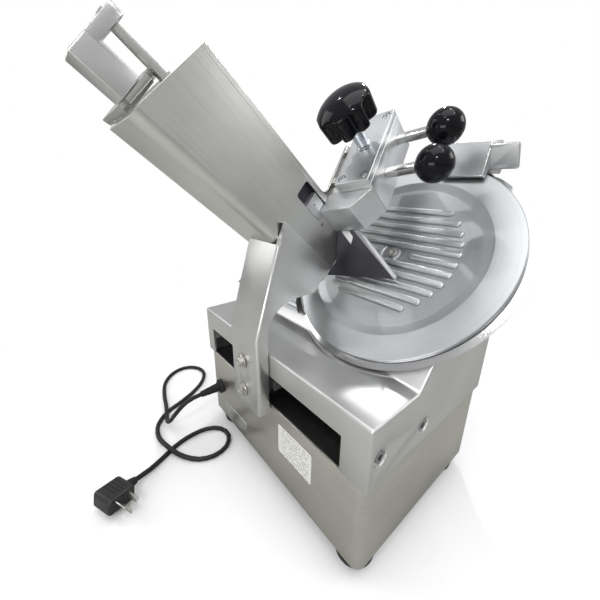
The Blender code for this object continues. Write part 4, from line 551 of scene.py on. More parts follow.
knob_plastic = moulded("glossy_knob_plastic", (0.006, 0.006, 0.008), 0.11, 0.0, 60.0, 0.02, gloss=0.17)
switch_plastic = moulded("switch_plastic", (0.022, 0.022, 0.023), 0.38)
foot_rubber = moulded("foot_rubber", (0.018, 0.018, 0.018), 0.62, depth=0.15)
cord_rubber = moulded("cord_sheath", (0.012, 0.012, 0.012), 0.42, depth=0.05)
belt_rubber = moulded("belt_rubber", (0.02, 0.02, 0.02), 0.7, depth=0.2)
start_green = moulded("start_button_green", (0.02, 0.33, 0.07), 0.28, 0.3)
stop_red = moulded("stop_button_red", (0.55, 0.02, 0.015), 0.28, 0.3)
stone_grit = moulded("sharpening_grit", (0.34, 0.32, 0.28), 0.9, texture=3500.0, depth=0.6)


def label_paper():
    """White film with faint ruled bars where a maker would print."""
    film, grey = (0.74, 0.73, 0.69), (0.22, 0.22, 0.23)
    finish = Finish("blank_label_film", film, 0.45)
    spot = finish.place(MACHINE)
    z = finish.node("ShaderNodeSeparateXYZ", {}, {0: spot}, "Z")
    x = finish.node("ShaderNodeSeparateXYZ", {}, {0: spot}, "X")
    rows = finish.node("ShaderNodeMath", {"operation": "PINGPONG"}, {0: z, 1: 0.0022})
    grid = finish.node("ShaderNodeCombineXYZ", {}, {"X": x * 420.0, "Y": z * 230.0})
    words = finish.noise(grid, 1.0, 0.0)
    left = x.between(0.037, 0.0372)
    right = 1 - x.between(0.09, 0.0902)
    bars = (1 - rows.between(0.0006, 0.0008)) * words.between(0.44, 0.47) * left * right
    fibre = finish.noise(spot, 1800.0, 2.0, 0.6)
    finish.set(**{"Base Color": finish.blend(bars * 0.85, film, grey),
                  "Roughness": fibre * 0.1 + 0.4})
    return finish.bump(fibre, 0.05, 0.0002).material


label_film = label_paper()
print(len(bpy.data.materials), "finishes")

# %% [markdown]
# ## The folded base
#
# The base is one folded box of thin sheet. Its plan is a rectangle with round corners. A second, slightly
# smaller plan is cut out of it, and what stays is the sheet. The raw upper edge gets a tiny bevel, and this
# is the bright line along the rim.

# %% Base cabinet
BASE_HALF, BASE_FRONT, BASE_BACK = 0.17, 0.002, 0.254
FOOT_TOP, JUNCTION = 0.025, 0.1427
SHEET = 0.0015


def base_plan(grow, radius, low, high, steps=10):
    """The plan of the base, grown or shrunk all round and given a height."""
    near, far = (-BASE_HALF - grow, BASE_FRONT - grow), (BASE_HALF + grow, BASE_BACK + grow)
    return outline(rounded_rectangle(near, far, radius, steps), low, high)


cabinet = carve(base_plan(0, 0.012, FOOT_TOP, JUNCTION - 0.0003), base_plan(-SHEET, 0.0105, 0.0, 0.2))
fit_piece("cabinet_shell", soften(cabinet, 0.0004, 60, 2), cabinet_steel, "machine", ["base_cabinet"])

# %% Bright rolled rim under the housing
rim = carve(base_plan(0.0011, 0.0131, JUNCTION - 0.002, JUNCTION - 0.0004), base_plan(0.00005, 0.012, 0.0, 0.2))
fit_piece("cabinet_rim", soften(rim, 0.0005, 60, 3), ground_bar, "machine")
# %% [markdown]
# The underside is closed by a plate with two rows of air slots. One long slot outline is cut at each place.
# Screws with crossed slots hold it near the corners, and the machine stands on four rubber feet, which are
# turned profiles with a moulded washer pocket.

# %% Bottom plate and its screws
def slot_cutter(x, y, length, width, low, high):
    return outline(rounded_rectangle((x - length / 2, y - width / 2), (x + length / 2, y + width / 2),
                                     width / 2 - 0.00005, 4), low, high)


def screw_head(radius, height, turn):
    """A domed screw head with a cross recess, standing along +Z."""
    dome = [(0, 0), (radius, 0), (radius, height * 0.45)]
    dome += [(radius * cos(a), height * (0.45 + 0.55 * sin(a))) for a in map(radians, (20, 40, 60, 75))]
    reach, thin, deep = radius * 0.62, radius * 0.12, height * 0.5
    cross = box((-reach, -thin, deep), (reach, thin, height * 2))
    cross = join(cross, box((-thin, -reach, deep), (thin, reach, height * 2)))
    return moved(carve(turned(dome + [(0, height)], 28), cross), Matrix.Rotation(turn, 4, "Z"))


def screws(places, facing, turns, radius=0.0038, height=0.0022):
    """Cross-slotted screws that all face one way, each with its own turn."""
    return gather(*[moved(screw_head(radius, height, turn), Matrix.Translation(place) @ facing)
                    for place, turn in zip(places, turns)])


INSET, VENT_ROWS, VENT_PITCH = SHEET + 0.0003, 8, 0.016
vents = gather(*[slot_cutter(x, 0.07 + VENT_PITCH * row, 0.055, 0.006, 0.0, 0.05)
                 for x in (-0.05, 0.05) for row in range(VENT_ROWS)])
plate = carve(base_plan(-INSET, 0.0105, FOOT_TOP, FOOT_TOP + 0.0025, 8), vents)
fit_piece("bottom_cover", soften(plate, 0.0003, 60, 1), cabinet_steel, "machine", ["bottom_plate"])
corners = [(x, y, FOOT_TOP) for y in (0.018, 0.238) for x in (-0.1, 0.1)]
heads = screws(corners, Matrix.Rotation(pi, 4, "X"), (0, 0.4, 0.8, 1.2))
fit_piece("bottom_screws", heads, zinc_bolt, "machine")
# %% [markdown]
# Four rubber feet keep the machine from creeping. One turned profile has the lip, the moulding line and the
# pocket for the screw, and it is spun once for each corner.

# %% Rubber feet
FOOT = [(0, 0.004), (0.0075, 0.004), (0.0075, 0), (0.0195, 0), (0.0222, 0.0008), (0.023, 0.0024),
        (0.0242, 0.01), (0.0236, 0.0108), (0.0244, 0.0116), (0.0252, 0.0205), (0.0254, 0.0226),
        (0.0242, 0.0247), (0, 0.0247)]
for side, x in (("left", -0.142), ("right", 0.142)):
    for place, y in (("front", 0.032), ("rear", 0.224)):
        corner = place + "_" + side
        foot = turned(FOOT, 72, (x, y, 0))
        fit_piece("foot_" + corner, foot, foot_rubber, "machine", ["rubber_foot_" + corner])
# %% [markdown]
# ## The housing
#
# Seen from the side the housing is a stepped wedge: a flat deck in front, then a tower whose face leans back
# at the blade's slope. This outline is pushed through the whole width, its outer edges are rounded, and a
# smaller outline is taken out from below, so a casting with an even wall is left. The drum behind the blade is
# a round boss set on the leaning face. The blade's own sweep then trims whatever would touch it.

# %% Housing
HALF, DEPTH, WALL = 0.172, 0.256, 0.004
DECK, TOWER_GAP, TOWER_TOP_V = 0.217, 0.0162, 0.03


def housing_side(inset, deck_inset, tower_inset, low):
    deck = DECK - deck_inset
    face = -TOWER_GAP - tower_inset
    kink = slope_yz(slope_at_height(deck, face), face)[0]
    crest = slope_yz(TOWER_TOP_V, -TOWER_GAP)[1] - inset
    crest_y = slope_yz(slope_at_height(crest, face), face)[0]
    back = DEPTH - inset
    return [(inset, low), (inset, deck), (kink, deck), (crest_y, crest), (back - 0.026, crest),
            (back, crest - 0.026), (back, low)]


housing = outline(housing_side(0, 0, 0, JUNCTION), -HALF, HALF, "X")
bevel(housing, 0.003, 5, lambda edge: max(vert.co.z for vert in edge.verts) > JUNCTION + 0.001)
inner = HALF - WALL
hollow = outline(housing_side(WALL, 0.017, 0.006, JUNCTION - 0.004), -inner, inner, "X")
arm_slot = box((-0.15, -0.004, JUNCTION - 0.004), (0.137, WALL + 0.004, JUNCTION + 0.0437))
rear_hatch = box((-0.12, DEPTH - 0.008, JUNCTION + 0.022), (0.12, DEPTH + 0.004, JUNCTION + 0.142))
housing = carve(housing, hollow, arm_slot, rear_hatch)
print("housing shell", len(housing.faces))

# %% [markdown]
# The rails rest in square bosses inside both side walls, and the bolts that hold them sit in round recesses of
# the right wall. All bosses are joined on first, and then one set of bars bores through them.

# %% Bosses, bores and the blade's drum
RAILS = ((0.016, 0.178), (0.094, 0.168))
DIAL_YZ, SWITCH_YZ, BUTTONS = (0.2, 0.215), (0.08, 0.178), (-0.015, 0.015)
POST_U, POSTS = -0.19, (-0.072, 0.008)
for y, z in RAILS:
    for low, high in ((-inner - WALL / 2, -inner + 0.0174), (inner - 0.0174, inner + WALL / 2)):
        housing = join(housing, box((low, y - 0.011, z - 0.011), (high, y + 0.011, z + 0.011)))
bores = gather(*[bar((-inner, y, z), 2 * inner + 0.002, 0.0063, axis="X") for y, z in RAILS])
recesses = [bar((inner, y, z), WALL + 0.004, 0.0105, axis="X", sides=64) for y, z in RAILS]
recesses += [bar((-HALF - 0.004, *DIAL_YZ), 0.012, 0.0063, axis="X")]
recesses += [bar((-HALF - 0.004, SWITCH_YZ[0] + side, SWITCH_YZ[1]), 0.012, 0.0048, axis="X")
             for side in BUTTONS]
housing = carve(housing, bores, gather(*recesses))

TO_SLOPE = MACHINE.inverted() @ SLOPE
drum = bar((0, 0, -0.0282), 0.016, 0.128, sides=160)
sweep = bar((0, 0, -TOWER_GAP + 0.0005), 0.15, 0.156, sides=160)
pockets = gather(bar((0, 0, -0.041), 0.036, 0.014), *[bar((POST_U, v, -0.041), 0.036, 0.0083) for v in POSTS])
housing = carve(join(housing, moved(drum, TO_SLOPE)), moved(sweep, TO_SLOPE), moved(pockets, TO_SLOPE))
soften(housing, 0.0007, 50, 2)
fit_piece("housing_casting", housing, housing_coat, "machine", ["main_housing"])

# %% [markdown]
# The rear of the housing is closed by a sheet with rows of louvres. A louvre is a short slit whose upper lip is
# pushed outwards: here a softened bar with one slanted side.

# %% Rear cover
REAR_LOW, REAR_HIGH, LOUVRE_HALF = JUNCTION + 0.01, JUNCTION + 0.154, 0.026
LOUVRE_ROWS, LOUVRE_PITCH = 6, 0.014
LOUVRES = [(x, REAR_LOW + 0.034 + LOUVRE_PITCH * row) for x in (-0.07, 0, 0.07) for row in range(LOUVRE_ROWS)]
rear = outline(rounded_rectangle((-0.132, REAR_LOW), (0.132, REAR_HIGH), 0.006),
               DEPTH + 0.0003, DEPTH + 0.0018, "Y")
slits = gather(*[box((x - LOUVRE_HALF, DEPTH - 0.01, z - 0.0012), (x + LOUVRE_HALF, DEPTH + 0.01, z + 0.0012))
                 for x, z in LOUVRES])
fit_piece("rear_panel", soften(carve(rear, slits), 0.0003, 60, 1), cabinet_steel, "machine", ["rear_cover"])


def louvre_lip(x, z):
    near, out = DEPTH + 0.0017, DEPTH + 0.0055
    side = [(near, z + 0.007), (out, z + 0.0016), (out, z + 0.001), (near, z + 0.001)]
    return soften(outline(side, x - LOUVRE_HALF, x + LOUVRE_HALF, "X"), 0.0004, 20, 2)


fit_piece("rear_louvres", gather(*[louvre_lip(x, z) for x, z in LOUVRES]), cabinet_steel, "machine")
corners = [(x, DEPTH + 0.0018, z) for x in (-0.126, 0.126)
           for z in (REAR_LOW + 0.006, REAR_LOW + 0.072, REAR_HIGH - 0.006)]
heads = screws(corners, Matrix.Rotation(radians(-90), 4, "X"), [0.5 * index for index in range(6)])
fit_piece("rear_screws", heads, zinc_bolt, "machine")
# %% [markdown]
# ## The carriage drive
#
# Two ground rails carry the carriage. Below the slot a chain runs round two sprockets and pulls it. A chain is
# one link repeated: two thin side plates over a roller. The link stays very light, because it is repeated many
# times along the stadium-shaped path.

# %% Rails and their wall bolts
for place, (y, z) in zip(("front", "rear"), RAILS):
    rail = soften(bar((-inner + 0.0003, y, z), 2 * inner - 0.0006, 0.006, axis="X", sides=64), 0.0006, 60, 2)
    fit_piece(place + "_rail", rail, ground_bar, "machine", [place + "_slide_rail"])
    bolt = turned([(0, 0), (0.0062, 0), (0.0066, 0.0004), (0.0066, 0.0024), (0.006, 0.003), (0, 0.003)], 48)
    bolt = carve(bolt, bar((0, 0, 0.0008), 0.01, 0.0036, sides=6))
    bolt = moved(bolt, Matrix.Translation((inner + 0.0003, y, z)) @ AXIS_TURN["X"])
    fit_piece(place + "_rail_bolt", bolt, dark_bolt, "machine", [place + "_wall_bolt"])

# %% Chain
SPAN, CHAIN_Y, CHAIN_Z, PITCH_RADIUS = 0.125, 0.055, 0.149, 0.0197
loop = 4 * SPAN + 2 * pi * PITCH_RADIUS
PAIR_LENGTH = 0.016
link_count = 2 * round(loop / PAIR_LENGTH)


def on_chain(distance):
    """Place and heading of a point this far along the chain's loop."""
    distance %= loop
    half_turn = pi * PITCH_RADIUS
    if distance < 2 * SPAN:
        return (-SPAN + distance, CHAIN_Y - PITCH_RADIUS), 0.0
    distance -= 2 * SPAN
    if distance < half_turn:
        angle = distance / PITCH_RADIUS
        return (SPAN + PITCH_RADIUS * sin(angle), CHAIN_Y - PITCH_RADIUS * cos(angle)), angle
    distance -= half_turn
    if distance < 2 * SPAN:
        return (SPAN - distance, CHAIN_Y + PITCH_RADIUS), pi
    angle = pi + (distance - 2 * SPAN) / PITCH_RADIUS
    return (-SPAN + PITCH_RADIUS * sin(angle), CHAIN_Y - PITCH_RADIUS * cos(angle)), angle


links = []
for index in range(link_count):
    (x, y), heading = on_chain(loop * index / link_count)
    half = loop / link_count / 2 * (1.16 if index % 2 else 1.08)
    reach = 0.003 if index % 2 else 0.0022
    link = bar((0, 0, -0.0028), 0.0056, 0.0012, sides=10)
    for low in (-reach, reach - 0.0007):
        box((-half, -0.0017, low), (half, 0.0017, low + 0.0007), bm=link)
    links.append(moved(link, Matrix.Translation((x, y, CHAIN_Z)) @ Matrix.Rotation(heading, 4, "Z")))
fit_piece("drive_chain_links", gather(*links), chain_steel, "machine", ["drive_chain"])


# %% [markdown]
# A sprocket's teeth are too small to be modelled one by one. Six points draw one tooth as a share of its
# pitch, and the loop repeats them fourteen times round the wheel.

# %% Sprockets
SPROCKET_TEETH = 14
TOOTH = ((0.0, 0.0158), (0.22, 0.016), (0.4, 0.0172), (0.5, 0.0174), (0.6, 0.0172), (0.78, 0.016))


def ring_of_holes(reach, start, length, radius, sides):
    """Six cutters in a ring round the axis."""
    return gather(*[bar((reach * cos(a), reach * sin(a), start), length, radius, sides=sides)
                    for a in [radians(60 * step) for step in range(6)]])


def sprocket(x, name, body):
    points = []
    for tooth in range(SPROCKET_TEETH):
        for share, radius in TOOTH:
            angle = 2 * pi * (tooth + share) / SPROCKET_TEETH
            points.append((radius * cos(angle), radius * sin(angle)))
    wheel = join(outline(points, -0.0022, 0.0022), bar((0, 0, -0.003), 0.006, 0.0095))
    wheel = carve(wheel, bar((0, 0, -0.02), 0.04, 0.0053), ring_of_holes(0.0125, -0.02, 0.04, 0.0014, 16))
    soften(wheel, 0.0003, 50, 1)
    wheel = moved(wheel, Matrix.Translation((x, CHAIN_Y, CHAIN_Z)))
    fit_piece(name + "_wheel", wheel, ground_bar, body, [name])


sprocket(SPAN, "drive_sprocket", "drive_sprocket_body")
sprocket(-SPAN, "idler_sprocket", "idler_sprocket_body")

# %% [markdown]
# The shelf under the chain is folded sheet, and the gear motor hangs below its right end. Its box has cast
# ribs, and its round can has shallow cooling rings.

# %% Shelf and gear motor
shelf = box((-BASE_HALF + INSET, BASE_FRONT + INSET, 0.133), (BASE_HALF - INSET, 0.128, 0.136))
bevel(shelf, 0.012, 8, lambda edge: runs_along(edge, "Z") and both_ends(edge, lambda co: co.y < 0.014))
shelf = carve(shelf, gather(bar((SPAN, CHAIN_Y, 0.12), 0.03, 0.0053),
                            *[slot_cutter(x, 0.055, 0.04, 0.016, 0.12, 0.15) for x in (-0.07, 0.0, 0.06)]))
shelf = join(shelf, *[bar((-SPAN, CHAIN_Y, 0.1345), *size) for size in ((0.0178, 0.005), (0.0112, 0.01))])
soften(shelf, 0.0004, 60, 1)
fit_piece("chain_shelf", shelf, dark_bolt, "machine", ["drive_shelf"])

top, right = 0.1327, BASE_HALF - SHEET - 0.004
gearbox = bevel(box((right - 0.07, CHAIN_Y - 0.042, top - 0.034), (right, CHAIN_Y + 0.042, top)), 0.003, 4)
for y in [CHAIN_Y + side for side in (-0.028, -0.014, 0.014, 0.028)]:
    rib = box((right - 0.0715, y - 0.001, top - 0.03), (right - 0.06, y + 0.001, top - 0.006))
    gearbox = join(gearbox, rib)
can = [(0, top - 0.03), (0, top - 0.09), (0.02, top - 0.09), (0.026, top - 0.087)]
for ring in range(8):
    z = top - 0.084 + 0.006 * ring
    can += [(0.026, z), (0.0242, z + 0.0008), (0.0242, z + 0.0022), (0.026, z + 0.003)]
can = turned(can + [(0.026, top - 0.03)], 64, (right - 0.035, CHAIN_Y, 0))
shaft = bar((SPAN, CHAIN_Y, top - 0.004), 0.1523 - top + 0.004, 0.005)
gearbox = join(gearbox, can, shaft)
soften(gearbox, 0.0005, 55, 1)
fit_piece("carriage_gear_motor", gearbox, motor_coat, "machine", ["gear_motor"])

# %% [markdown]
# ## The blade and what drives it
#
# The blade is a thin turned disc with a ground bevel. It turns in two bearings inside a flanged housing, and a
# belt brings the power from the motor below. All of this hides behind the cover, but it shows from behind the
# louvres, so it is still drawn.

# %% Blade, spindle and pulleys
MOTOR_V = -0.085
blade = turned([(0.0123, -0.0098), (0.1465, -0.0098), (0.15, -0.00965), (0.15, -0.0095), (0.1455, -0.0084),
                (0.141, -0.0078), (0.09, -0.0078), (0.089, -0.0081), (0.0123, -0.0081)], 192)
fit_piece("round_blade", blade, blade_steel, "blade_set", ["blade"], SLOPE)
spindle = turned([(0.0065, -0.093), (0.0112, -0.093), (0.012, -0.0922), (0.012, -0.0141), (0.0292, -0.0141),
                  (0.03, -0.0136), (0.03, -0.0104), (0.0296, -0.0101), (0.012, -0.0101), (0.012, -0.0078),
                  (0.0065, -0.0078)], 72)
fit_piece("spindle_turned", spindle, ground_bar, "blade_set", ["blade_spindle"], SLOPE)


def pulley(outer, bore, v, name, body):
    """A poly-V pulley: fine grooves all round between two flat edges."""
    profile = [(bore, -0.084), (outer - 0.0012, -0.084), (outer - 0.0004, -0.0832)]
    for groove in range(5):
        low = -0.083 + 0.002 * groove
        profile += [(outer - 0.0002, low), (outer - 0.0012, low + 0.001)]
    profile += [(outer - 0.0002, -0.073), (outer - 0.0008, -0.072), (bore, -0.072)]
    wheel = turned(profile, 96)
    if outer > 0.03:
        wheel = carve(wheel, ring_of_holes(0.026, -0.09, 0.03, 0.006, 32))
    fit_piece(name + "_wheel", moved(wheel, Matrix.Translation((0, v, 0))), pulley_alloy, body, [name], SLOPE)


pulley(0.04, 0.0123, 0, "spindle_pulley", "blade_set")
pulley(0.014, 0.0058, MOTOR_V, "motor_pulley", "motor_pulley_body")


# %% [markdown]
# The belt's outline is two arcs with straight runs between them. A slightly smaller outline is cut out,
# which leaves a band of even thickness.

# %% Belt
def open_belt(large, small, distance, steps=48):
    """The outline of a belt round a large wheel and a small one below it."""
    lean = asin((large - small) / distance)
    points = []
    for radius, centre, start, sweep in ((large, 0, -lean, pi + 2 * lean),
                                         (small, -distance, pi + lean, pi - 2 * lean)):
        for step in range(steps + 1):
            angle = start + sweep * step / steps
            points.append((radius * cos(angle), centre + radius * sin(angle)))
    return points


belt = outline(open_belt(0.0428, 0.0168, -MOTOR_V), -0.0825, -0.0735)
belt = carve(belt, outline(open_belt(0.0406, 0.0146, -MOTOR_V), -0.1, -0.05))
fit_piece("ribbed_belt", soften(belt, 0.0005, 60, 2), belt_rubber, "machine", ["drive_belt"], SLOPE)

# %% [markdown]
# A flange with a round body holds two bearings. Their rings are turned with a shallow groove, where real
# ones have their shields.

# %% Bearing housing and bearings
house = bevel(box((-0.058, -0.031, -0.0335), (0.058, 0.031, -0.0285)), 0.004, 4,
              lambda edge: runs_along(edge, "Z"))
house = join(house, bar((0, 0, -0.0665), 0.0355, 0.026, sides=72))
house = carve(house, bar((0, 0, -0.08), 0.06, 0.0168, sides=72))
posts = gather(*[bar((u, 0, -0.1005), 0.0695, 0.0035, sides=32) for u in (-0.05, 0.05)])
house = join(house, posts, box((-0.057, -0.007, -0.1025), (0.057, 0.007, -0.0985)))
fit_piece("bearing_house", soften(house, 0.0005, 55, 1), inner_iron, "machine", ["bearing_housing"], SLOPE)
for name, low in (("front_bearing", -0.0395), ("rear_bearing", -0.0665)):
    ring = turned([(0.0123, low), (0.0135, low), (0.0138, low + 0.0006), (0.015, low + 0.0006), (0.0153, low),
                   (0.0165, low), (0.0165, low + 0.011), (0.0153, low + 0.011), (0.015, low + 0.0104),
                   (0.0138, low + 0.0104), (0.0135, low + 0.011), (0.0123, low + 0.011)], 72)
    fit_piece(name + "_rings", ring, ground_bar, "machine", [name], SLOPE)

# %% [markdown]
# The motor hangs in a thin bracket. A loop adds the cooling rings to the profile of its case before the
# profile is spun.

# %% Motor bracket and blade motor
mount = box((-0.046, -0.126, -0.0898), (0.046, -0.048, -0.0285))
holes = gather(*[bar((u, v, -0.1), 0.02, 0.0022, sides=24) for u in (-0.026, 0.026) for v in (-0.111, -0.059)])
mount = carve(mount, box((-0.043, -0.13, -0.0868), (0.043, -0.04, -0.02)),
              bar((0, MOTOR_V, -0.1), 0.02, 0.014, sides=48), holes)
fit_piece("motor_mount", soften(mount, 0.0005, 60, 1), inner_iron, "machine", ["motor_bracket"], SLOPE)
case = [(0, -0.0901), (0.034, -0.0901), (0.036, -0.0915), (0.036, -0.099)]
for ring in range(10):
    low = -0.101 - 0.0048 * ring
    case += [(0.036, low), (0.0335, low - 0.0006), (0.0335, low - 0.002), (0.036, low - 0.0026)]
case += [(0.036, -0.159), (0.0335, -0.1621), (0, -0.1621)]
case = turned(case, 72, (0, MOTOR_V, 0))
case = join(case, bar((0, MOTOR_V, -0.094), 0.022, 0.0055))
fit_piece("blade_motor_case", case, motor_coat, "machine", ["blade_motor"], SLOPE)

# %% [markdown]
# ## The blade cover
#
# The cover is a turned plate: a narrow rim, a wide flat ring and a slightly sunk field in the middle. On the
# sunk field stand eleven long ribs with round ends, which keep the meat from sticking. Each rib is an outline
# with half-round ends, made longer or shorter so that all ends lie on one circle. A fine bevel rounds its top.

# %% Blade cover with its ribs
RECESS, COVER_SHEET = 0.0032, 0.002
profile = [(0.0043, -RECESS - COVER_SHEET), (0.1014, -RECESS - COVER_SHEET), (0.1123, -COVER_SHEET),
           (0.1405, -COVER_SHEET), (0.1405, -0.0052), (0.1425, -0.0052), (0.1425, -0.0012), (0.1421, -0.0005),
           (0.1413, 0.0), (0.1138, 0.0), (0.1126, -0.0002), (0.1112, -0.0008), (0.1026, -0.0028),
           (0.1012, -RECESS), (0.018, -RECESS), (0.0165, -RECESS - 0.0003), (0.015, -RECESS - 0.0012),
           (0.0105, -RECESS - 0.0014), (0.0098, -RECESS - 0.0006), (0.009, -RECESS), (0.0043, -RECESS)]
fit_piece("cover_plate", turned(profile, 224), cover_alloy, "machine", ["blade_cover"], SLOPE, sharp=28)

RIBS, RIB_PITCH, RIB_HALF, RIB_CIRCLE, SCREW_GAP = 11, 0.0134, 0.0042, 0.084, 0.023
ribs = []
for index in range(RIBS):
    v = (index - RIBS // 2) * RIB_PITCH
    reach = sqrt(RIB_CIRCLE ** 2 - v ** 2)
    spans = ((-reach, -SCREW_GAP), (SCREW_GAP, reach)) if index == RIBS // 2 else ((-reach, reach),)
    for low, high in spans:
        ridge = outline(rounded_rectangle((low, v - RIB_HALF), (high, v + RIB_HALF), RIB_HALF - 0.0001),
                        -RECESS - 0.0006, -RECESS + 0.0024)
        ribs.append(bevel(ridge, 0.0022, 5, lambda edge: both_ends(edge, lambda co: co.z > -RECESS)))
fit_piece("cover_ribs", gather(*ribs), cover_alloy, "machine", axes=SLOPE, sharp=50)
stud = turned([(0, -0.0982), (0.0035, -0.0982), (0.004, -0.0977), (0.004, -0.0029), (0.0055, -0.0029),
               (0.0055, -0.0006), (0.0051, 0.0), (0, 0.0)], 48)
stud = carve(stud, bar((0, 0, -0.0024), 0.006, 0.0026, sides=6))
fit_piece("cover_screw", stud, zinc_bolt, "machine", ["cover_stud"], SLOPE)

# %% [markdown]
# ## Gauge plate and thickness dial
#
# The gauge plate sets how thick a slice gets. Its face is milled into fine ridges along the slide, so the
# outline of the ridges is drawn once from the side and pushed along the plate; the blade's circle is cut away.

# %% Gauge plate
TOP, BACK_W, LOW_V, HIGH_V = -0.001, -0.007, -0.124, 0.044
RIDGES = 21
WAVE = ((0, 0.0012), (0.12, 0.0011), (0.27, 0.0002), (0.33, 0), (0.42, 0), (0.48, 0.0002), (0.63, 0.0011),
        (0.75, 0.0012))
pitch = (HIGH_V - LOW_V) / RIDGES
side = [(LOW_V, BACK_W)]
side += [(LOW_V + ridge * pitch + pitch * share, TOP - drop) for ridge in range(RIDGES) for share, drop in WAVE]
side += [(HIGH_V, TOP - 0.0012), (HIGH_V, BACK_W)]
gauge = outline(side, -0.27, 0, "X")
gauge = carve(gauge, bar((0, 0, -0.012), 0.015, 0.155, sides=192),
              box((-0.274, -0.094, -0.012), (-0.234, 0.05, 0.003)))
posts = gather(*[bar((POST_U, v, -0.075), 0.071, 0.008) for v in POSTS])
gauge = join(gauge, posts)
fit_piece("gauge_face", gauge, cover_alloy, "gauge", ["gauge_plate"], SLOPE)

guide = box((-0.204, -0.072, -0.046), (-0.176, 0.008, -0.0225))
guide = join(guide, *[bar((POST_U, v, -0.06), 0.0375, 0.014) for v in POSTS])
guide = carve(guide, gather(*[bar((POST_U, v, -0.064), 0.05, 0.0083) for v in POSTS]))
fit_piece("gauge_bushes", soften(guide, 0.0006, 60, 2), inner_iron, "machine", ["gauge_guide"], SLOPE)

# %% [markdown]
# The dial is a knob with twelve finger grooves on a shaft with a disc at its inner end. Thirty small marks,
# every third one longer, are set round its face.

# %% Thickness dial
GROOVES, DIAL_STEPS = 12, 144
dial_points = []
for step in range(DIAL_STEPS):
    angle = 2 * pi * step / DIAL_STEPS
    reach = 0.0274 + 0.0006 * cos(GROOVES * angle)
    dial_points.append((reach * cos(angle), reach * sin(angle)))
dial = outline(dial_points, -0.0203, -0.0003, "X")
bevel(dial, 0.002, 4, lambda edge: both_ends(edge, lambda co: co.x < -0.02))
dial = join(dial, bar((-0.0043, 0, 0), 0.0543, 0.006, axis="X"),
            bar((0.042, 0, 0), 0.008, 0.018, axis="X", sides=64))
DIAL = MACHINE @ Matrix.Translation((-HALF, *DIAL_YZ))
fit_piece("dial_knob", dial, knob_plastic, "thickness_dial_body", ["thickness_dial"], DIAL)
MARKS, FIRST_MARK, SCALE_SWEEP = 30, -60, 300
scale_marks = []
for step in range(MARKS):
    turn = Matrix.Rotation(radians(FIRST_MARK + SCALE_SWEEP * step / (MARKS - 1)), 4, "X")
    length = 0.0012 if step % 3 else 0.0022
    mark = box((-0.0006, -0.00015, 0.0235 - length), (0.0001, 0.00015, 0.0235))
    scale_marks.append(moved(mark, Matrix.Translation((-0.0203, 0, 0)) @ turn))
fit_piece("dial_marks", gather(*scale_marks), label_film, "thickness_dial_body", axes=DIAL)
# %% [markdown]
# The buttons are turned caps with a slightly dished face, green to start and red to stop, in a black plate
# with round corners.

# %% Switch plate and buttons
SWITCH = MACHINE @ Matrix.Translation((-HALF - 0.0003, *SWITCH_YZ))
panel = outline(rounded_rectangle((-0.031, -0.017), (0.031, 0.017), 0.004), -0.003, 0, "X")
panel = carve(panel, gather(*[bar((-0.01, side, 0), 0.02, 0.0048, axis="X") for side in BUTTONS]))
fit_piece("switch_panel", soften(panel, 0.0006, 50, 3), switch_plastic, "machine", ["switch_plate"], SWITCH)
cap = [(0, -0.0042), (0.0045, -0.0042), (0.0045, 0.0025), (0.0084, 0.0025), (0.009, 0.0031),
       (0.009, 0.0064), (0.0084, 0.0072), (0.0074, 0.0074), (0.005, 0.007), (0, 0.0068)]
for name, y, paint in zip(("start", "stop"), BUTTONS, (start_green, stop_red)):
    place = SWITCH @ Matrix.Translation((-0.0033, y, 0)) @ Matrix.Rotation(radians(-90), 4, "Y")
    fit_piece(name + "_cap", turned(cap, 64), paint, name + "_button_body", [name + "_button"], place)

# %% [markdown]
# ## Carriage arm
#
# The arm is one casting. Its side view climbs from the foot, leans out at a kink and ends beside the chute,
# with a curved throat behind. The outline goes through the arm's whole width. A cradle for the chute is then
# cut out of it, so a thin cheek stays on the right. Every long edge gets a cast radius, and the right front
# edge gets a larger one: these are the bright corner lines.

# %% Arm
ARM_LEFT, ARM_RIGHT, ARM_FRONT, ARM_SKIRT, KINK_Z = -0.047, 0.015, -0.017, -0.0012, 0.2397
MIDDLE = (ARM_LEFT + ARM_RIGHT) / 2
throat, shoulder = slope_yz(-0.0941, 0.029), slope_yz(-0.0787, 0.1169)
start_z = DECK + 0.004
curve = [(ARM_SKIRT + (throat[0] - ARM_SKIRT) * (1 - sin(a) ** 0.6),
          throat[1] + (start_z - throat[1]) * (1 - cos(a) ** 0.6))
         for a in [radians(6 + 78 * step / 14) for step in range(15)]]
side = [(ARM_SKIRT, 0.131), (ARM_FRONT, 0.131), (ARM_FRONT, KINK_Z), shoulder, slope_yz(-0.056, 0.1272),
        slope_yz(-0.0526, 0.1262), slope_yz(-0.0526, 0.029), throat] + curve + [(ARM_SKIRT, start_z)]
arm = outline(side, ARM_LEFT, ARM_RIGHT, "X")


def on_front(point):
    """Whether a point lies on the arm's front, below or above the kink."""
    lean = (point.z - KINK_Z) / (shoulder[1] - KINK_Z) * (shoulder[0] - ARM_FRONT)
    return point.z < shoulder[1] + 0.001 and abs(point.y - ARM_FRONT - max(0.0, lean)) < 0.0003


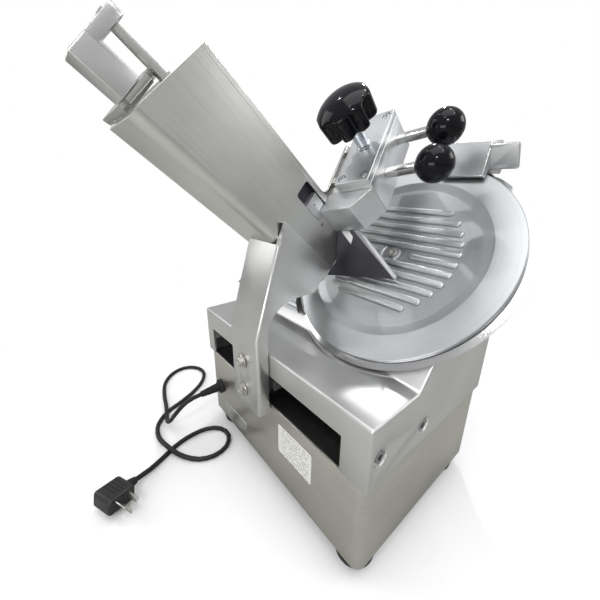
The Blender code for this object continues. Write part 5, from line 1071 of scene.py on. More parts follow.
bevel(arm, 0.0042, 8, lambda edge: both_ends(edge, lambda co: abs(co.x - ARM_RIGHT) < 1e-5 and on_front(co)))
cradle = [slope_yz(v, w) for v, w in ((-0.0787, 0.135), (-0.03, 0.135), (-0.03, 0.02), (-0.0787, 0.02))]
back_pocket = box((MIDDLE - 0.0293, -0.0076, 0.127), (MIDDLE + 0.0293, 0.004, 0.2143))
BOLT_X, BOLT_HEIGHTS = -0.0215, (0.154, 0.197)
seats = [bar((BOLT_X, ARM_FRONT - 0.002, z), 0.0023, 0.0108, axis="Y", sides=64) for z in BOLT_HEIGHTS]
arm = carve(arm, outline(cradle, ARM_LEFT - 0.004, 0.01, "X"), back_pocket, *seats)
soften(arm, 0.0009, 38, 3)
fit_piece("arm_casting", arm, arm_coat, "carriage", ["carriage_arm"])


# %% [markdown]
# A hexagon head has curved chamfers. They appear by themselves where a six-sided bar meets a turned cone,
# and INTERSECT keeps what both have in common.

# %% Arm bolts: a washer, a spring washer and a hexagon head
TO_FRONT = Matrix.Rotation(radians(90), 4, "X")


def arm_bolt(z, name, turn):
    plain = turned([(0, 0), (0.0095, 0), (0.0095, 0.0012), (0.0091, 0.0015), (0, 0.0015)], 64)
    spring = turned([(0, 0.0013), (0.0072, 0.0013), (0.0072, 0.0026), (0, 0.0026)], 48)
    head = bar((0, 0, 0.0024), 0.0041, 0.0068, sides=6)
    head = boolean(head, turned([(0, 0), (0.0061, 0), (0.0069, 0.003), (0.0069, 0.0052), (0.006, 0.0065),
                                 (0, 0.0065)], 48), "INTERSECT")
    head = carve(head, turned([(0, 0.006), (0.003, 0.006), (0.0034, 0.007), (0, 0.007)], 32))
    bolt = join(plain, spring, moved(head, Matrix.Rotation(turn, 4, "Z")))
    place = MACHINE @ Matrix.Translation((BOLT_X, ARM_FRONT - 0.0003, z)) @ TO_FRONT
    fit_piece(name + "_bolt", bolt, zinc_bolt, "carriage", [name], place, sharp=25)


arm_bolt(BOLT_HEIGHTS[0], "lower_arm_bolt", 0.35)
arm_bolt(BOLT_HEIGHTS[1], "upper_arm_bolt", 0.9)

# %% [markdown]
# Behind the slot the arm is bolted to a block that runs on both rails. Two small fingers on it take hold of
# the chain.

# %% Slider block behind the arm
slider = box((MIDDLE - 0.03, 0.0085, 0.1585), (MIDDLE + 0.03, 0.106, 0.19))
for half, near, far, low, high in ((0.02, -0.003, 0.0105, 0.15, 0.182),
                                   (0.029, -0.0073, -0.0015, 0.133, 0.214)):
    slider = join(slider, box((MIDDLE - half, near, low), (MIDDLE + half, far, high)))
slider = carve(slider, *[bar((MIDDLE - 0.034, y, z), 0.068, 0.0063, axis="X", sides=64) for y, z in RAILS])
run = CHAIN_Y + 0.0177
for low in (run - 0.0046, run + 0.0046):
    slider = join(slider, box((MIDDLE - 0.007, low, 0.145), (MIDDLE + 0.007, low + 0.004, 0.1625)))
soften(slider, 0.0008, 60, 2)
fit_piece("slider_casting", slider, inner_iron, "carriage", ["slider_block"])

# %% [markdown]
# ## The chute
#
# The chute is one sheet folded four times, drawn as its cross-section and pushed along the slide direction.
# The bends are rounded, and the near wall ends in a hem: the sheet's edge folded back on itself, so that
# nobody cuts a hand. The two ends are trimmed at a slant.

# %% Folded chute
FAR, NEAR, FLOOR, HEM = -0.1523, -0.0596, -0.0784, 0.0108
BEND = 0.011


def quarter(x, y, radius, start):
    return arc((x, y), radius, start, -90, 10)


section = [(NEAR + 0.0004, HEM - 0.0008), (NEAR + 0.0004, HEM - 0.0052), (NEAR, HEM - 0.0056)]
section += quarter(NEAR - BEND, FLOOR + BEND, BEND, 0)
section += quarter(FAR + BEND, FLOOR + BEND, BEND, -90) + [(FAR, HEM)]
section += [(FAR + SHEET, HEM)] + list(reversed(quarter(FAR + BEND, FLOOR + BEND, BEND - SHEET, -90)))
section += list(reversed(quarter(NEAR - BEND, FLOOR + BEND, BEND - SHEET, 0)))
section += [(NEAR - SHEET, HEM - 0.005), (NEAR - 0.0028, HEM - 0.005), (NEAR - 0.0028, HEM - 0.001),
            (NEAR - 0.0022, HEM - 0.0002), (NEAR - 0.0014, HEM), (NEAR - 0.0002, HEM - 0.0002)]
chute = outline(section, 0.0195, 0.2887)
past = HEM + 0.004
trim_top = [(FLOOR - 0.004, 0.2927), (FLOOR + BEND, 0.289), (past, 0.2804), (past, 0.2927)]
trim_low = [(-0.012, 0.0155), (-0.012, 0.0235), (HEM - 0.005, 0.084), (past, 0.088), (past, 0.0155)]
trims = [outline(trim, FAR - 0.004, NEAR + 0.004, "X") for trim in (trim_top, trim_low)]
window = rounded_rectangle((-0.0193, 0.0792), (0.0038, 0.128), 0.004)
chute = carve(chute, *trims, outline(window, NEAR - 0.003, NEAR + 0.003, "X"))
soften(chute, 0.0003, 60, 1)
fit_piece("chute_sheet", chute, chute_steel, "carriage", ["meat_chute"], SLOPE, sharp=25)

# %% [markdown]
# Small screws hold the chute on the arm's cheek. Near the lower end of the hem the wall has a window. A light
# block sits in it with a screw hole of its own, and a thin near-black pocket closes the window behind the
# block: its dark coat is painted shade inside the window.

# %% Screws on the chute's near wall
wall_screws = screws([(NEAR, -0.019, 0.074), (NEAR, -0.01, 0.024)], AXIS_TURN["X"], (0.3, 1.1), 0.0022, 0.001)
fit_piece("chute_screws", wall_screws, dark_bolt, "carriage", axes=SLOPE)
# %% [markdown]
# The block is a box with two larger radii on top, and the pocket behind it is a box with a smaller box cut out.
# The pocket's near-black coat is painted shade.

# %% Block in the window of the wall, with painted shade behind it
hem_block = box((NEAR - 0.0082, -0.019, 0.0795), (NEAR, 0.003, 0.1085))
bevel(hem_block, 0.003, 6, lambda edge: runs_along(edge, "Z", 0.01) and both_ends(edge, lambda co: co.y > 0))
soften(hem_block, 0.0006, 60, 2)
hem_block = carve(hem_block, bar((NEAR - 0.004, -0.0095, 0.1), 0.008, 0.0013, axis="X", sides=24))
fit_piece("hem_block_casting", hem_block, clamp_coat, "carriage", ["hem_block"], SLOPE)
# Painted shade: a near-black pocket behind the block darkens the window's opening.
pocket = box((NEAR - 0.0084, -0.021, 0.0775), (NEAR - SHEET - 0.0002, 0.005, 0.13))
pocket = carve(pocket, box((NEAR - 0.0078, -0.0192, 0.0793), (NEAR, 0.0032, 0.1282)))
fit_piece("hem_painted_shade_pocket", soften(pocket, 0.0003, 60, 1), dark_coat_and_painted_shade, "carriage", axes=SLOPE)

# %% [markdown]
# The pusher needs a rod that cannot turn, so it is square. Its ground edges are only just broken.

# %% Guide rod with its foot block
rod = bevel(box((-0.0708, -0.0375, 0.04), (-0.0638, -0.0305, 0.3365)), 0.0006, 2)
foot = bevel(box((-0.0738, -0.042, 0.037), (NEAR - SHEET - 0.0003, -0.026, 0.075)), 0.0012)
fit_piece("guide_rod_square", join(rod, foot), ground_bar, "carriage", ["guide_rod"], SLOPE)
# %% [markdown]
# ## The pusher
#
# The pusher slides on the square rod. A cast block with a raised head carries a toothed plate that grips the
# meat. The plate's outline is drawn along its edge with pointed teeth and pushed across the chute. All of it is
# drawn where it stands and rides on the pusher's own body.

# %% Pusher block
block = bevel(box((-0.0868, -0.072, 0.2972), (-0.062, -0.05, 0.335)), 0.0015)
head = box((-0.0738, -0.054, 0.3255), (-0.0617, -0.0235, 0.3353))
bevel(head, 0.005, 8, lambda edge: runs_along(edge, "Z") and both_ends(edge, lambda co: co.y > -0.03))
soften(head, 0.001, 60, 2)
rod_hole = box((-0.0711, -0.0378, 0.29), (-0.0635, -0.0302, 0.35))
block = carve(join(block, head), rod_hole)
fit_piece("pusher_casting", block, arm_coat, "pusher", ["pusher_block"], SLOPE)

# %% [markdown]
# The teeth are drawn in one outline, with three points for each, and the plate is then cut out round the
# rod, at the chute's two bends and for one hole.

# %% Toothed pusher plate
left, right, low = FAR + SHEET + 0.0015, NEAR - SHEET - 0.0015, FLOOR + SHEET + 0.0015
TEETH = 15
step = (right - left) / TEETH
teeth = [(left, 0.2969), (left, 0.2939)]
teeth += [(left + (tooth + share) * step, w) for tooth in range(TEETH)
          for share, w in ((0.46, 0.2895), (0.54, 0.2895), (1, 0.2939))]
teeth += [(right, 0.2969)]
plate = outline(teeth, low, -0.026, "Y")
notch = box((-0.0741, -0.0435, 0.28), (right + 0.004, -0.02, 0.3))
corners = gather(box((left - 0.004, low - 0.004, 0.28), (left + 0.0055, low + 0.0055, 0.3)),
                 box((right - 0.0055, low - 0.004, 0.28), (right + 0.004, low + 0.0055, 0.3)))
plate = carve(plate, notch, corners, bar((-0.118, -0.034, 0.28), 0.03, 0.0042, sides=48))
fit_piece("pusher_plate", soften(plate, 0.0003, 40, 1), ground_bar, "pusher", ["pusher_foot"], SLOPE)

# %% [markdown]
# ## The side clamp
#
# Two square bars pass through a milled block and carry the press plate inside the chute at one end and black
# ball knobs at the other. A lid closes the block from above with four cap screws. The star knob's screw goes
# through the lid and presses a shoe on the bars.

# %% Clamp block and its lid
A0, A1, B0, B1 = -0.0402, 0.0049, 0.0279, 0.1365
BARS, BAR_W, SPLIT = (0.062, 0.116), 0.0743, 0.0938
KNOB_AT = (-0.019, 0.0841)


def square_bar(b, half, low, high):
    """A square bar along the clamp's X axis, or the hole for one."""
    return box((low, b - half, BAR_W - half), (high, b + half, BAR_W + half))


block = bevel(box((A0, B0, 0.0467), (A1, B1, SPLIT)), 0.001)
holes = gather(*[square_bar(b, 0.0049, A0 - 0.004, A1 + 0.004) for b in BARS])
block = carve(block, holes, box((-0.028, 0.055, BAR_W), (-0.01, 0.123, SPLIT + 0.004)))
fit_piece("clamp_body", block, clamp_coat, "carriage", ["clamp_block"], CLAMP)
shoe = box((-0.027, 0.056, 0.0791), (-0.011, 0.122, 0.0841))
fit_piece("clamp_shoe", soften(shoe, 0.0006, 60, 2), brass_alloy, "carriage", ["lock_shoe"], CLAMP)
LID = 0.1019
lid = bevel(box((A0, B0, SPLIT + 0.0003), (A1, B1, LID)), 0.0009)
SCREWS = [(a, b) for a in (A0 + 0.008, A1 - 0.008) for b in (B0 + 0.0085, B1 - 0.0085)]
lid = carve(lid, gather(bar((*KNOB_AT, 0.09), 0.02, 0.0053),
                        *[bar((a, b, LID - 0.0034), 0.01, 0.0049, sides=48) for a, b in SCREWS]))
fit_piece("clamp_lid", lid, clamp_coat, "carriage", ["clamp_top_plate"], CLAMP)


def cap_screw(place, radius, height, turn):
    """A cap screw with a hexagon socket."""
    head = turned([(0, 0), (radius, 0), (radius, height * 0.8), (radius * 0.88, height), (0, height)], 28)
    head = carve(head, bar((0, 0, height * 0.35), height, radius * 0.52, sides=6))
    return moved(head, Matrix.Translation(place) @ Matrix.Rotation(turn, 4, "Z"))


caps = [cap_screw((a, b, LID - 0.0036), 0.0041, 0.0034, 0.3 + 0.4 * index)
        for index, (a, b) in enumerate(SCREWS)]
fit_piece("clamp_cap_screws", gather(*caps), clamp_coat, "carriage", axes=CLAMP)

# %% [markdown]
# The press plate and its bars move as one piece, so they are joined. The bars keep sharp ends and get a
# tiny radius along their length.

# %% Press plate with its two bars
press = outline([(0.002, 0.0283), (0.127, 0.0283), (0.127, 0.0803), (0.04, 0.0803), (0.022, 0.1203),
                 (0.002, 0.1203)], -0.0736, -0.07, "X")
bevel(press, 0.006, 6, lambda edge: runs_along(edge, "X"))
soften(press, 0.0009, 60, 2)
for b in BARS:
    square = bevel(square_bar(b, 0.0045, -0.0718, 0.044), 0.0006, 2, lambda edge: runs_along(edge, "X", 0.01))
    press = join(press, square)
fit_piece("press_plate_and_bars", press, ground_bar, "fence", ["press_plate"], CLAMP)

# %% [markdown]
# A ball knob is a turned ball with a short flat-ended neck towards the bar. Its outline is half a circle closed
# along the axis, and the spin makes the ball.

# %% Ball knobs
BALL = 0.02
half_circle = [(BALL * sin(a), -BALL * cos(a)) for a in [radians(24 + 156 * step / 40) for step in range(41)]]
(neck, low), above = half_circle[0], half_circle[1:-1]
profile = [(0, low - 0.0009), (neck - 0.001, low - 0.0009), (neck, low)] + above + [(0, BALL)]
for name, b in zip(("lower", "upper"), BARS):
    knob = moved(turned(profile, 96), Matrix.Translation((0.0601, b, BAR_W)) @ AXIS_TURN["X"])
    knob = carve(knob, square_bar(b, 0.0048, 0.03, 0.0443))
    fit_piece(name + "_ball", knob, knob_plastic, "fence", [name + "_ball_knob"], CLAMP)
# %% [markdown]
# ## The star knob
#
# The star knob's plan is a wave round a circle: eight lobes for the fingers. The plan is pushed up in rings.
# Each ring of the cap is drawn in more than the last, so the top becomes a dome. The notches between the
# lobes fade out below the cap. Under it a smooth steel sleeve goes down to the lid, and its screw goes on
# into the block.

# %% Star knob dome
LOBES, LOBE_REACH, NOTCH_DEPTH, KNOB_TURN = 8, 0.032, 0.0072, radians(14)


def star_ring(share, flute, steps=144):
    """One ring of the knob: how far it reaches, and how deep its notches are."""
    points = []
    for step in range(steps):
        angle = 2 * pi * step / steps
        notch = (0.5 - 0.5 * cos(LOBES * (angle - KNOB_TURN))) ** 1.8
        reach = LOBE_REACH - NOTCH_DEPTH * notch * flute
        points.append((reach * share * cos(angle), reach * share * sin(angle)))
    return points


dome = bmesh.new()
layers = [(-0.0012, 0.82, 1.0), (-0.0009, 0.9, 1.0), (0.0, 0.945, 1.0), (0.0018, 0.965, 1.0),
          (0.019, 0.995, 1.0), (0.0214, 1.0, 0.97), (0.0227, 0.998, 0.8), (0.0237, 0.99, 0.45),
          (0.0248, 0.972, 0.16),
          (0.0262, 0.935, 0.03), (0.0282, 0.865, 0.0), (0.0304, 0.765, 0.0), (0.0324, 0.645, 0.0),
          (0.034, 0.51, 0.0), (0.0352, 0.365, 0.0), (0.0359, 0.215, 0.0), (0.0362, 0.08, 0.0)]
rings = [[dome.verts.new((x, y, z)) for x, y in star_ring(share, flute)] for z, share, flute in layers]
for ring in rings:
    for here, there in zip(ring, ring[1:] + ring[:1]):
        dome.edges.new((here, there))
for lower, upper in zip(rings, rings[1:]):
    pair = {edge for ring in (lower, upper) for vert in ring for edge in vert.link_edges
            if edge.other_vert(vert) in ring}
    bmesh.ops.bridge_loops(dome, edges=list(pair))
for ring in (rings[0], rings[-1]):
    bmesh.ops.contextual_create(dome, geom=ring)
bmesh.ops.recalc_face_normals(dome, faces=dome.faces)
STAR = CLAMP @ Matrix.Translation((*KNOB_AT, 0.133))
fit_piece("star_knob_head", dome, knob_plastic, "star_knob_body", ["star_knob"], STAR, sharp=60)

# %% [markdown]
# The thread is a stack of rings and not a helix. It hides in the block, and rings are much lighter.

# %% Star knob stem and thread
stem = [(0, 0.0014), (0.009, 0.0014), (0.0086, 0.0008), (0.008, 0.0004), (0.0074, 0.0), (0.0072, -0.0006),
        (0.0072, -0.0282), (0.0082, -0.029), (0.0085, -0.0298), (0.0085, -0.0306), (0.0082, -0.0308),
        (0.005, -0.0308)]
THREAD_TOP, THREAD_END, THREAD_PITCH = -0.0312, -0.047, 0.001
z = THREAD_TOP
while z > THREAD_END:
    stem += [(0.005, z), (0.0044, z - THREAD_PITCH / 2), (0.005, z - THREAD_PITCH)]
    z -= THREAD_PITCH
stem = turned(stem + [(0.0046, -0.0486), (0, -0.0486)], 72)
fit_piece("star_knob_screw", stem, sleeve_steel, "star_knob_body", axes=STAR, sharp=25)

# %% [markdown]
# ## Bracket and guard
#
# A block joins the clamp to the chute's wall, and a dark thin guard plate hangs below it down to the blade.
# Both follow the slope, but the block's right side keeps to the turned clamp, so its plan is a little
# slanted.

# %% Clamp bracket and guard plate
def clamp_to_slope(a, b):
    """A point of the clamp's plan, in the slope frame."""
    return a * cos(CLAMP_TURN) - b * sin(CLAMP_TURN), a * sin(CLAMP_TURN) + b * cos(CLAMP_TURN)


def wall_point(u, b):
    """The point at x = u of the slope frame whose height in the clamp's plan is b."""
    return clamp_to_slope((u + b * sin(CLAMP_TURN)) / cos(CLAMP_TURN), b)


wall, low, high = NEAR + 0.0003, 0.0026, B0 - 0.0003
plan = [wall_point(wall, low), clamp_to_slope(-0.0163, low), clamp_to_slope(A1 - 0.0003, high),
        wall_point(wall, high)]
bracket = bevel(outline(plan, 0.0467, 0.0885), 0.0009)
fit_piece("clamp_support", bracket, clamp_coat, "carriage", ["clamp_bracket"], SLOPE)

guard = outline([(-0.0825, 0.0065), (0.018, 0.0065), (-0.034, 0.0464), (-0.0594, 0.0464), (-0.0662, 0.0185)],
                0.003, 0.003 + 0.003 / cos(TILT), "Y")
soften(guard, 0.0004, 40, 2)
shear = Matrix.Shear("XZ", 4, (0.0, 0.0))
shear[1][2] = tan(TILT) * cos(CLAMP_TURN)


def hung(bm):
    """A flat piece sheared so that it hangs plumb below the bracket."""
    raise_back = Matrix.Translation((0, 0, 0.0464))
    return moved(bm, raise_back @ shear @ raise_back.inverted())


fit_piece("guard_sheet", hung(guard), dark_coat_and_painted_shade, "carriage", ["guard_plate"], CLAMP)
strip = outline([(0.018, 0.0065), (0.0205, 0.0065), (-0.0285, 0.0462), (-0.0342, 0.0462)], 0.0027,
                0.003 + 0.0028 / cos(TILT), "Y")
fit_piece("guard_edge", soften(hung(strip), 0.0002, 40, 1), edge_coat, "carriage", axes=CLAMP)
tab = outline([(-0.0516, 0.0461), (-0.0412, 0.0461), (-0.0354, 0.0408), (-0.0387, 0.0351)], 0.0018, 0.0034, "Y")
fit_piece("guard_tab", soften(hung(tab), 0.0002, 40, 1), clamp_coat, "carriage", axes=CLAMP)

# %% [markdown]
# ## Sharpener
#
# The sharpener straddles the blade's top edge. Its housing is a box with a leaning front, hollow underneath,
# with two stones on pins inside. On its right sits a solid grip with rounded corners.

# %% Sharpener housing
body = outline([(0.1185, 0.0015), (0.1158, 0.0076), (0.1545, 0.0253), (0.1765, 0.003), (0.17, -0.03),
                (0.1535, -0.03), (0.1535, 0.0015)], 0.014, 0.066, "X")
bevel(body, 0.0018, 4, lambda edge: both_ends(edge, lambda co: co.z > 0.007))
hollow = outline([(0.112, -0.0025), (0.12, 0.006), (0.1535, 0.0215), (0.173, 0.003), (0.167, -0.0085),
                  (0.1455, -0.0085), (0.1455, -0.0025)], 0.017, 0.063, "X")
body = carve(body, hollow)
grip = outline([(0.2454, 0.4355), (0.233, 0.4615), (0.2372, 0.4632), (0.2496, 0.4372)], 0.1336, 0.1643, "X")
bevel(grip, 0.0022, 4, lambda edge: both_ends(edge, lambda co: co.x > 0.16))
body = join(body, moved(grip, SLOPE.inverted() @ MACHINE))
soften(body, 0.0005, 60, 2)
fit_piece("sharpener_casting", body, clamp_coat, "sharpener", ["sharpener_body"], SLOPE)
profile = [(0, 0), (0.0078, 0), (0.0088, 0.001), (0.0088, 0.007), (0.0078, 0.008), (0.0025, 0.008),
           (0.0025, 0.0242), (0, 0.0242)]
for name, u in (("sharpening_stone", 0.029), ("deburring_stone", 0.051)):
    stone = moved(turned(profile, 48), Matrix.Translation((u, 0.156, -0.0055)))
    fit_piece(name + "_wheel", stone, stone_grit, name + "_body", [name], SLOPE)
mount = box((0.026, 0.09, -0.0385), (0.054, 0.17, -0.0285))
mount = carve(mount, box((0.02, 0.132, -0.0303), (0.06, 0.18, -0.02)))
soften(mount, 0.0008, 60, 2)
fit_piece("sharpener_mount", mount, inner_iron, "machine", ["sharpener_bracket"], SLOPE)

# %% [markdown]
# ## Blank label and rating plate
#
# A white film label and a thin metal rating plate sit on the front of the base. Real ones carry print; the
# label shows only ruled bars and the plate is bare. Each is a rounded outline a few tenths of a millimetre
# thick.

# %% Label and rating plate
def front_plate(low, high, radius, thickness):
    """A thin plate with round corners on the front of the base."""
    return outline(rounded_rectangle(low, high, radius, 4), BASE_FRONT - thickness, BASE_FRONT, "Y")


label = front_plate((0.03, 0.078), (0.094, 0.122), 0.002, 0.0003)
fit_piece("blank_label", label, label_film, "machine")
rating = front_plate((-0.126, 0.033), (-0.056, 0.058), 0.0015, 0.0005)
fit_piece("rating_plate", soften(rating, 0.0002, 60, 1), plate_steel, "machine")
# %% [markdown]
# ## Cord, gland and plug
#
# The cord is a curve. A smooth line goes through listed points, is read at even steps, and carries a round
# bevel of the cord's real radius. The gland is a tapered turned sleeve with the rings that let a real gland
# bend, and the plug is a softened block with three flat pins.

# %% Cord route
CORD_ROUTE = (
    (-141, -35, 79), (-141, -48, 78.5), (-144, -62, 72), (-155, -74, 52), (-172, -80, 29),
    (-194, -80, 13), (-218, -74, 11.3), (-248, -67, 6), (-283, -60, 3.8), (-320, -47, 3.8),
    (-345, -23, 3.8), (-350, 5, 3.8), (-333, 27, 3.8), (-305, 32, 3.8), (-278, 18, 3.8),
    (-256, -8, 3.8), (-240, -40, 3.8), (-228, -70, 3.8), (-206, -93, 3.8), (-175, -101, 6),
    (-144, -98, 11.3), (-115, -86, 7), (-92, -66, 3.8), (-82, -42, 3.8), (-88, -19, 3.8),
    (-108, -7, 3.8), (-130, -13, 3.8), (-143, -33, 3.8), (-145, -59, 3.8), (-140, -84, 3.8),
    (-130, -106, 3.8), (-119, -127, 6), (-112, -141, 10), (-108, -150, 12),
)


def grooved(reach, z, steps):
    """A groove in a turned sleeve: (drawn in, further along) for each corner."""
    return [(reach - inward, z + along) for inward, along in steps]


def smooth_route(knots, count):
    """Even steps along a smooth curve through knots that are given in millimetres."""
    knots = [Vector(knot) / 1000 for knot in knots]
    dense = []
    for index in range(len(knots) - 1):
        before, here = knots[max(index - 1, 0)], knots[index]
        there, after = knots[index + 1], knots[min(index + 2, len(knots) - 1)]
        bend, twist = 2 * before - 5 * here + 4 * there - after, 3 * here - before - 3 * there + after
        for t in [step / 24 for step in range(24)]:
            dense.append(0.5 * (2 * here + (there - before) * t + bend * t ** 2 + twist * t ** 3))
    dense.append(knots[-1])
    reached = [0.0]
    for here, there in zip(dense, dense[1:]):
        reached.append(reached[-1] + (there - here).length)
    points, index = [], 0
    for goal in [reached[-1] * step / (count - 1) for step in range(count)]:
        while reached[index + 1] < goal and index < len(dense) - 2:
            index += 1
        share = (goal - reached[index]) / (reached[index + 1] - reached[index])
        points.append(dense[index].lerp(dense[index + 1], share))
    return points


route = smooth_route(CORD_ROUTE, 78)
GLAND_AT, GLAND_LENGTH = Vector((-0.141, 0.002, 0.079)), 0.036
route[0] = GLAND_AT - Vector((0, GLAND_LENGTH + 0.0003, 0))
world_route = [MACHINE @ point for point in route]
cord_length = sum((b - a).length for a, b in zip(world_route, world_route[1:]))
print(len(world_route), "points along the cord")

# %% [markdown]
# A curve with a round bevel stays easy to bend: only its points have to move.

# %% Cord curve
curve = bpy.data.curves.new("mains_cord", "CURVE")
curve.dimensions = "3D"
CORD_RADIUS = 0.0035
curve.bevel_depth, curve.bevel_resolution, curve.use_fill_caps = CORD_RADIUS, 6, True
spline = curve.splines.new("POLY")
spline.points.add(len(world_route) - 1)
for point, place in zip(spline.points, world_route):
    point.co = (*place, 1)
curve.materials.append(cord_rubber)
cord = bpy.data.objects.new("mains_cord", curve)
bpy.context.scene.collection.objects.link(cord)
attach(cord, "machine")
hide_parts("power_cord")
print("cord length", round(cord_length, 4))

# %% [markdown]
# A loop adds grooves to the tapered sleeve, each drawn in a little from the taper.

# %% Cable gland
profile = [(0, 0.0003), (0.0115, 0.0003), (0.012, 0.0008), (0.012, 0.0034), (0.0114, 0.004), (0.0078, 0.004)]
for ring in range(6):
    z = 0.0075 + 0.0046 * ring
    reach = 0.0078 - 0.0028 * (z - 0.004) / 0.032
    profile += grooved(reach, z, ((0, 0), (0.0009, 0.0004), (0.001, 0.0012), (0.0002, 0.0017)))
profile += [(0.005, GLAND_LENGTH - 0.0004), (0.0046, GLAND_LENGTH), (0, GLAND_LENGTH)]
gland = fit_piece("gland_sleeve", turned(profile, 64), foot_rubber, "machine", ["cable_gland"],
                  MACHINE @ Matrix.Translation(GLAND_AT) @ TO_FRONT)

# %% [markdown]
# The plug's axes follow the last stretch of the cord. Three flat pins stand on its side, two of them
# leaning apart.

# %% Plug
heading = (route[-1] - route[-2]).normalized()
PLUG = (MACHINE @ Matrix.Translation(route[-1] + heading * 0.0003)
        @ Matrix.Rotation(atan2(heading.y, heading.x), 4, "Z") @ Matrix.Rotation(-asin(heading.z), 4, "Y"))
neck = [(0, 0), (0.005, 0)]
for ring in range(4):
    x = 0.0012 + 0.003 * ring
    reach = 0.005 + 0.0025 * x / 0.014
    neck += grooved(reach, x, ((0, 0), (0.0007, 0.0005), (0.0007, 0.0013), (-0.0003, 0.0018)))
neck += [(0.0075, 0.0145), (0, 0.0145)]
plug = turned(neck, 48, axis="X")
shell = bevel(box((0.012, -0.018, -0.011), (0.048, 0.018, 0.011)), 0.005, 6)
grooves = gather(*[box((x, -0.014, 0.0104), (x + 0.0015, 0.01, 0.02)) for x in (0.02, 0.025, 0.03, 0.035)])
plug = join(plug, carve(shell, grooves))
plug = fit_piece("plug_body", plug, switch_plastic, "machine", ["mains_plug"], PLUG)
pins = []
for along, lean, rise in ((-0.0079, -30.0, 0.005), (0.0079, 30.0, 0.005), (0, 0, -0.005)):
    pin = soften(box((-0.0008, -0.011, -0.00315), (0.0008, 0.009, 0.00315)), 0.0004, 60, 2)
    spot = Matrix.Translation((0.031 + along, 0.027, rise)) @ Matrix.Rotation(radians(lean), 4, "Y")
    pins.append(moved(pin, spot))
plug_pins = fit_piece("plug_pins", gather(*pins), zinc_bolt, "machine", axes=PLUG)

# %% [markdown]
# ## Floor, light and camera
#
# The machine stands on a plain pale floor that keeps only its shadow. Only the camera sees it pale: in the
# steel's reflections it is dark, as a workshop floor is, and this gives the folded sheets their contrast. The
# world is soft and bright above, with one dark patch to the left, which the arm and the housing mirror. Large
# lamps above and beside give the edges their lines, and small ones put the bright points on the black knobs.

# %% Floor
floor_finish = Finish("pale_floor", (0.88, 0.88, 0.88), 0.85)
floor_spot = floor_finish.node("ShaderNodeTexCoord", output="Object")
floor_cloud = floor_finish.noise(floor_spot, (3.0, 3.0, 3.0), 3.0)
floor_finish.set(Roughness=floor_cloud * 0.1 + 0.8)
dark = floor_finish.node("ShaderNodeBsdfDiffuse", {}, {"Color": (0.42, 0.42, 0.4, 1)}, "BSDF")
seen = floor_finish.node("ShaderNodeLightPath", output="Is Camera Ray")
away = floor_finish.node("ShaderNodeVectorMath", {"operation": "LENGTH"}, {0: floor_spot}, "Value")
clear = floor_finish.node("ShaderNodeEmission", {}, {"Color": (1, 1, 1, 1), "Strength": 1.0}, "Emission")
pale = floor_finish.node("ShaderNodeMixShader", {}, {0: away.between(0.36, 0.85), 2: clear,
                                                     1: Reading(floor_finish, floor_finish.shader.outputs[0])})
both = floor_finish.node("ShaderNodeMixShader", {}, {0: seen, 1: dark, 2: pale})
floor_finish.tree.links.new(both.socket, floor_finish.tree.nodes["Material Output"].inputs["Surface"])
floor = as_object(box((-6, -6, -0.02), (6, 6, 0.0)), "floor_slab")
floor.data.materials.append(floor_finish.material)
print(floor.name)

# %% [markdown]
# The world's strength is a product of two ramps: one grows with height, and one falls off round a single
# direction, which makes the dark patch.

# %% World: white to the camera, softer in the metal
world = bpy.data.worlds.new("studio")
bpy.context.scene.world = world
world.use_nodes = True
sky = Network(world.node_tree)
sky.tree.nodes.clear()
toward = sky.node("ShaderNodeTexCoord", output="Generated")
height = sky.node("ShaderNodeSeparateXYZ", {}, {0: toward}, "Z")
DARK_SIDE = (-0.82, -0.57, -0.03)
side = sky.node("ShaderNodeVectorMath", {"operation": "DOT_PRODUCT"}, {0: toward, 1: DARK_SIDE}, "Value")
strength = height.spread(-0.1, 0.9, 0.44, 0.56) * side.spread(0.8, 0.97, 1.0, 0.12)
soft = sky.node("ShaderNodeBackground", {}, {"Color": (0.97, 0.98, 1.0, 1), "Strength": strength})
direct = sky.node("ShaderNodeBackground", {}, {"Color": (1, 1, 1, 1), "Strength": 1.0})
seen = sky.node("ShaderNodeLightPath", output="Is Camera Ray")
both = sky.node("ShaderNodeMixShader", {}, {0: seen, 1: soft, 2: direct})
sky.tree.links.new(both.socket, sky.tree.nodes.new("ShaderNodeOutputWorld").inputs["Surface"])
print(len(sky.tree.nodes), "nodes in the world")
# %% [markdown]
# Every lamp is a rectangle that looks at the machine. Its place, the height it looks at, its size and its
# power stand in one table, so that they are easy to compare.

# %% Lamps
def lamp(name, place, target_height, size, power):
    """A rectangular lamp that looks at a point above the machine's middle."""
    light = bpy.data.lights.new(name, "AREA")
    light.shape, light.size, light.size_y = "RECTANGLE", size[0], size[1]
    light.energy = power
    obj = bpy.data.objects.new(name, light)
    obj.location = place
    obj.rotation_euler = (Vector((0, 0, target_height)) - Vector(place)).to_track_quat("-Z", "Y").to_euler()
    bpy.context.scene.collection.objects.link(obj)


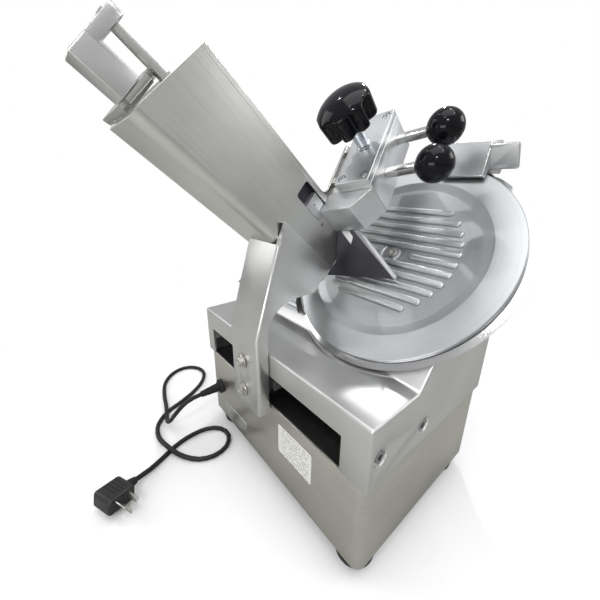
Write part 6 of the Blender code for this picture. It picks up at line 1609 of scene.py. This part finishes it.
for name, place, target_height, size, power in (
        ("ceiling_panel", (0.3, -0.2, 1.9), 0.2, (1.6, 1.2), 15),
        ("side_window", (-1.6, -1.2, 1.1), 0.25, (1.2, 1.4), 12),
        ("rim_strip", (1.2, 1.4, 1.3), 0.3, (1.0, 0.6), 8),
        ("low_front_fill", (0.35, -1.3, 0.3), 0.2, (0.8, 0.3), 5),
        ("bench_lamp", (0.75, -0.85, 1.15), 0.35, (0.1, 0.1), 4),
        ("shelf_lamp", (-0.5, 0.9, 1.5), 0.35, (0.1, 0.1), 5),
        ("hall_lamp_1", (-0.9, -0.3, 2.0), 0.35, (0.06, 0.06), 1.2),
        ("hall_lamp_2", (0.1, 0.6, 2.1), 0.35, (0.06, 0.06), 1.2),
        ("hall_lamp_3", (0.9, 0.3, 2.0), 0.35, (0.06, 0.06), 1.2),
        ("hall_lamp_4", (0.4, -1.2, 1.9), 0.35, (0.06, 0.06), 1.2)):
    lamp(name, place, target_height, size, power)
print(len(bpy.data.lights), "lamps")
# %% [markdown]
# The camera stands close in front and to the right, a little above the clamp, with a wide lens, as the
# photographer did. Its three axes were found by fitting the machine's straight edges.

# %% Camera
camera_data = bpy.data.cameras.new("photo_camera")
camera_data.lens, camera_data.sensor_width = 18.0, 36.0
camera_data.shift_x, camera_data.shift_y = -0.0054, -0.0293
camera_data.clip_start = 0.01
camera = bpy.data.objects.new("photo_camera", camera_data)
CAMERA_AT, turn = (0.2757, -0.2524, 0.416), Vector((1.7472, 0.822, -0.5756))
rows = Matrix.Rotation(turn.length, 3, turn.normalized())
facing = Matrix((rows[0], -rows[1], -rows[2])).transposed()
camera.matrix_world = Matrix.Translation(CAMERA_AT) @ facing.to_4x4()
bpy.context.scene.collection.objects.link(camera)
bpy.context.scene.camera = camera
print("lens", camera_data.lens, "mm")

# %% [markdown]
# A tone curve would grey the white background, so the colours go to the picture as they are.

# %% Plain colours, no tone curve
bpy.context.scene.view_settings.view_transform = "Standard"
print("view transform", bpy.context.scene.view_settings.view_transform)
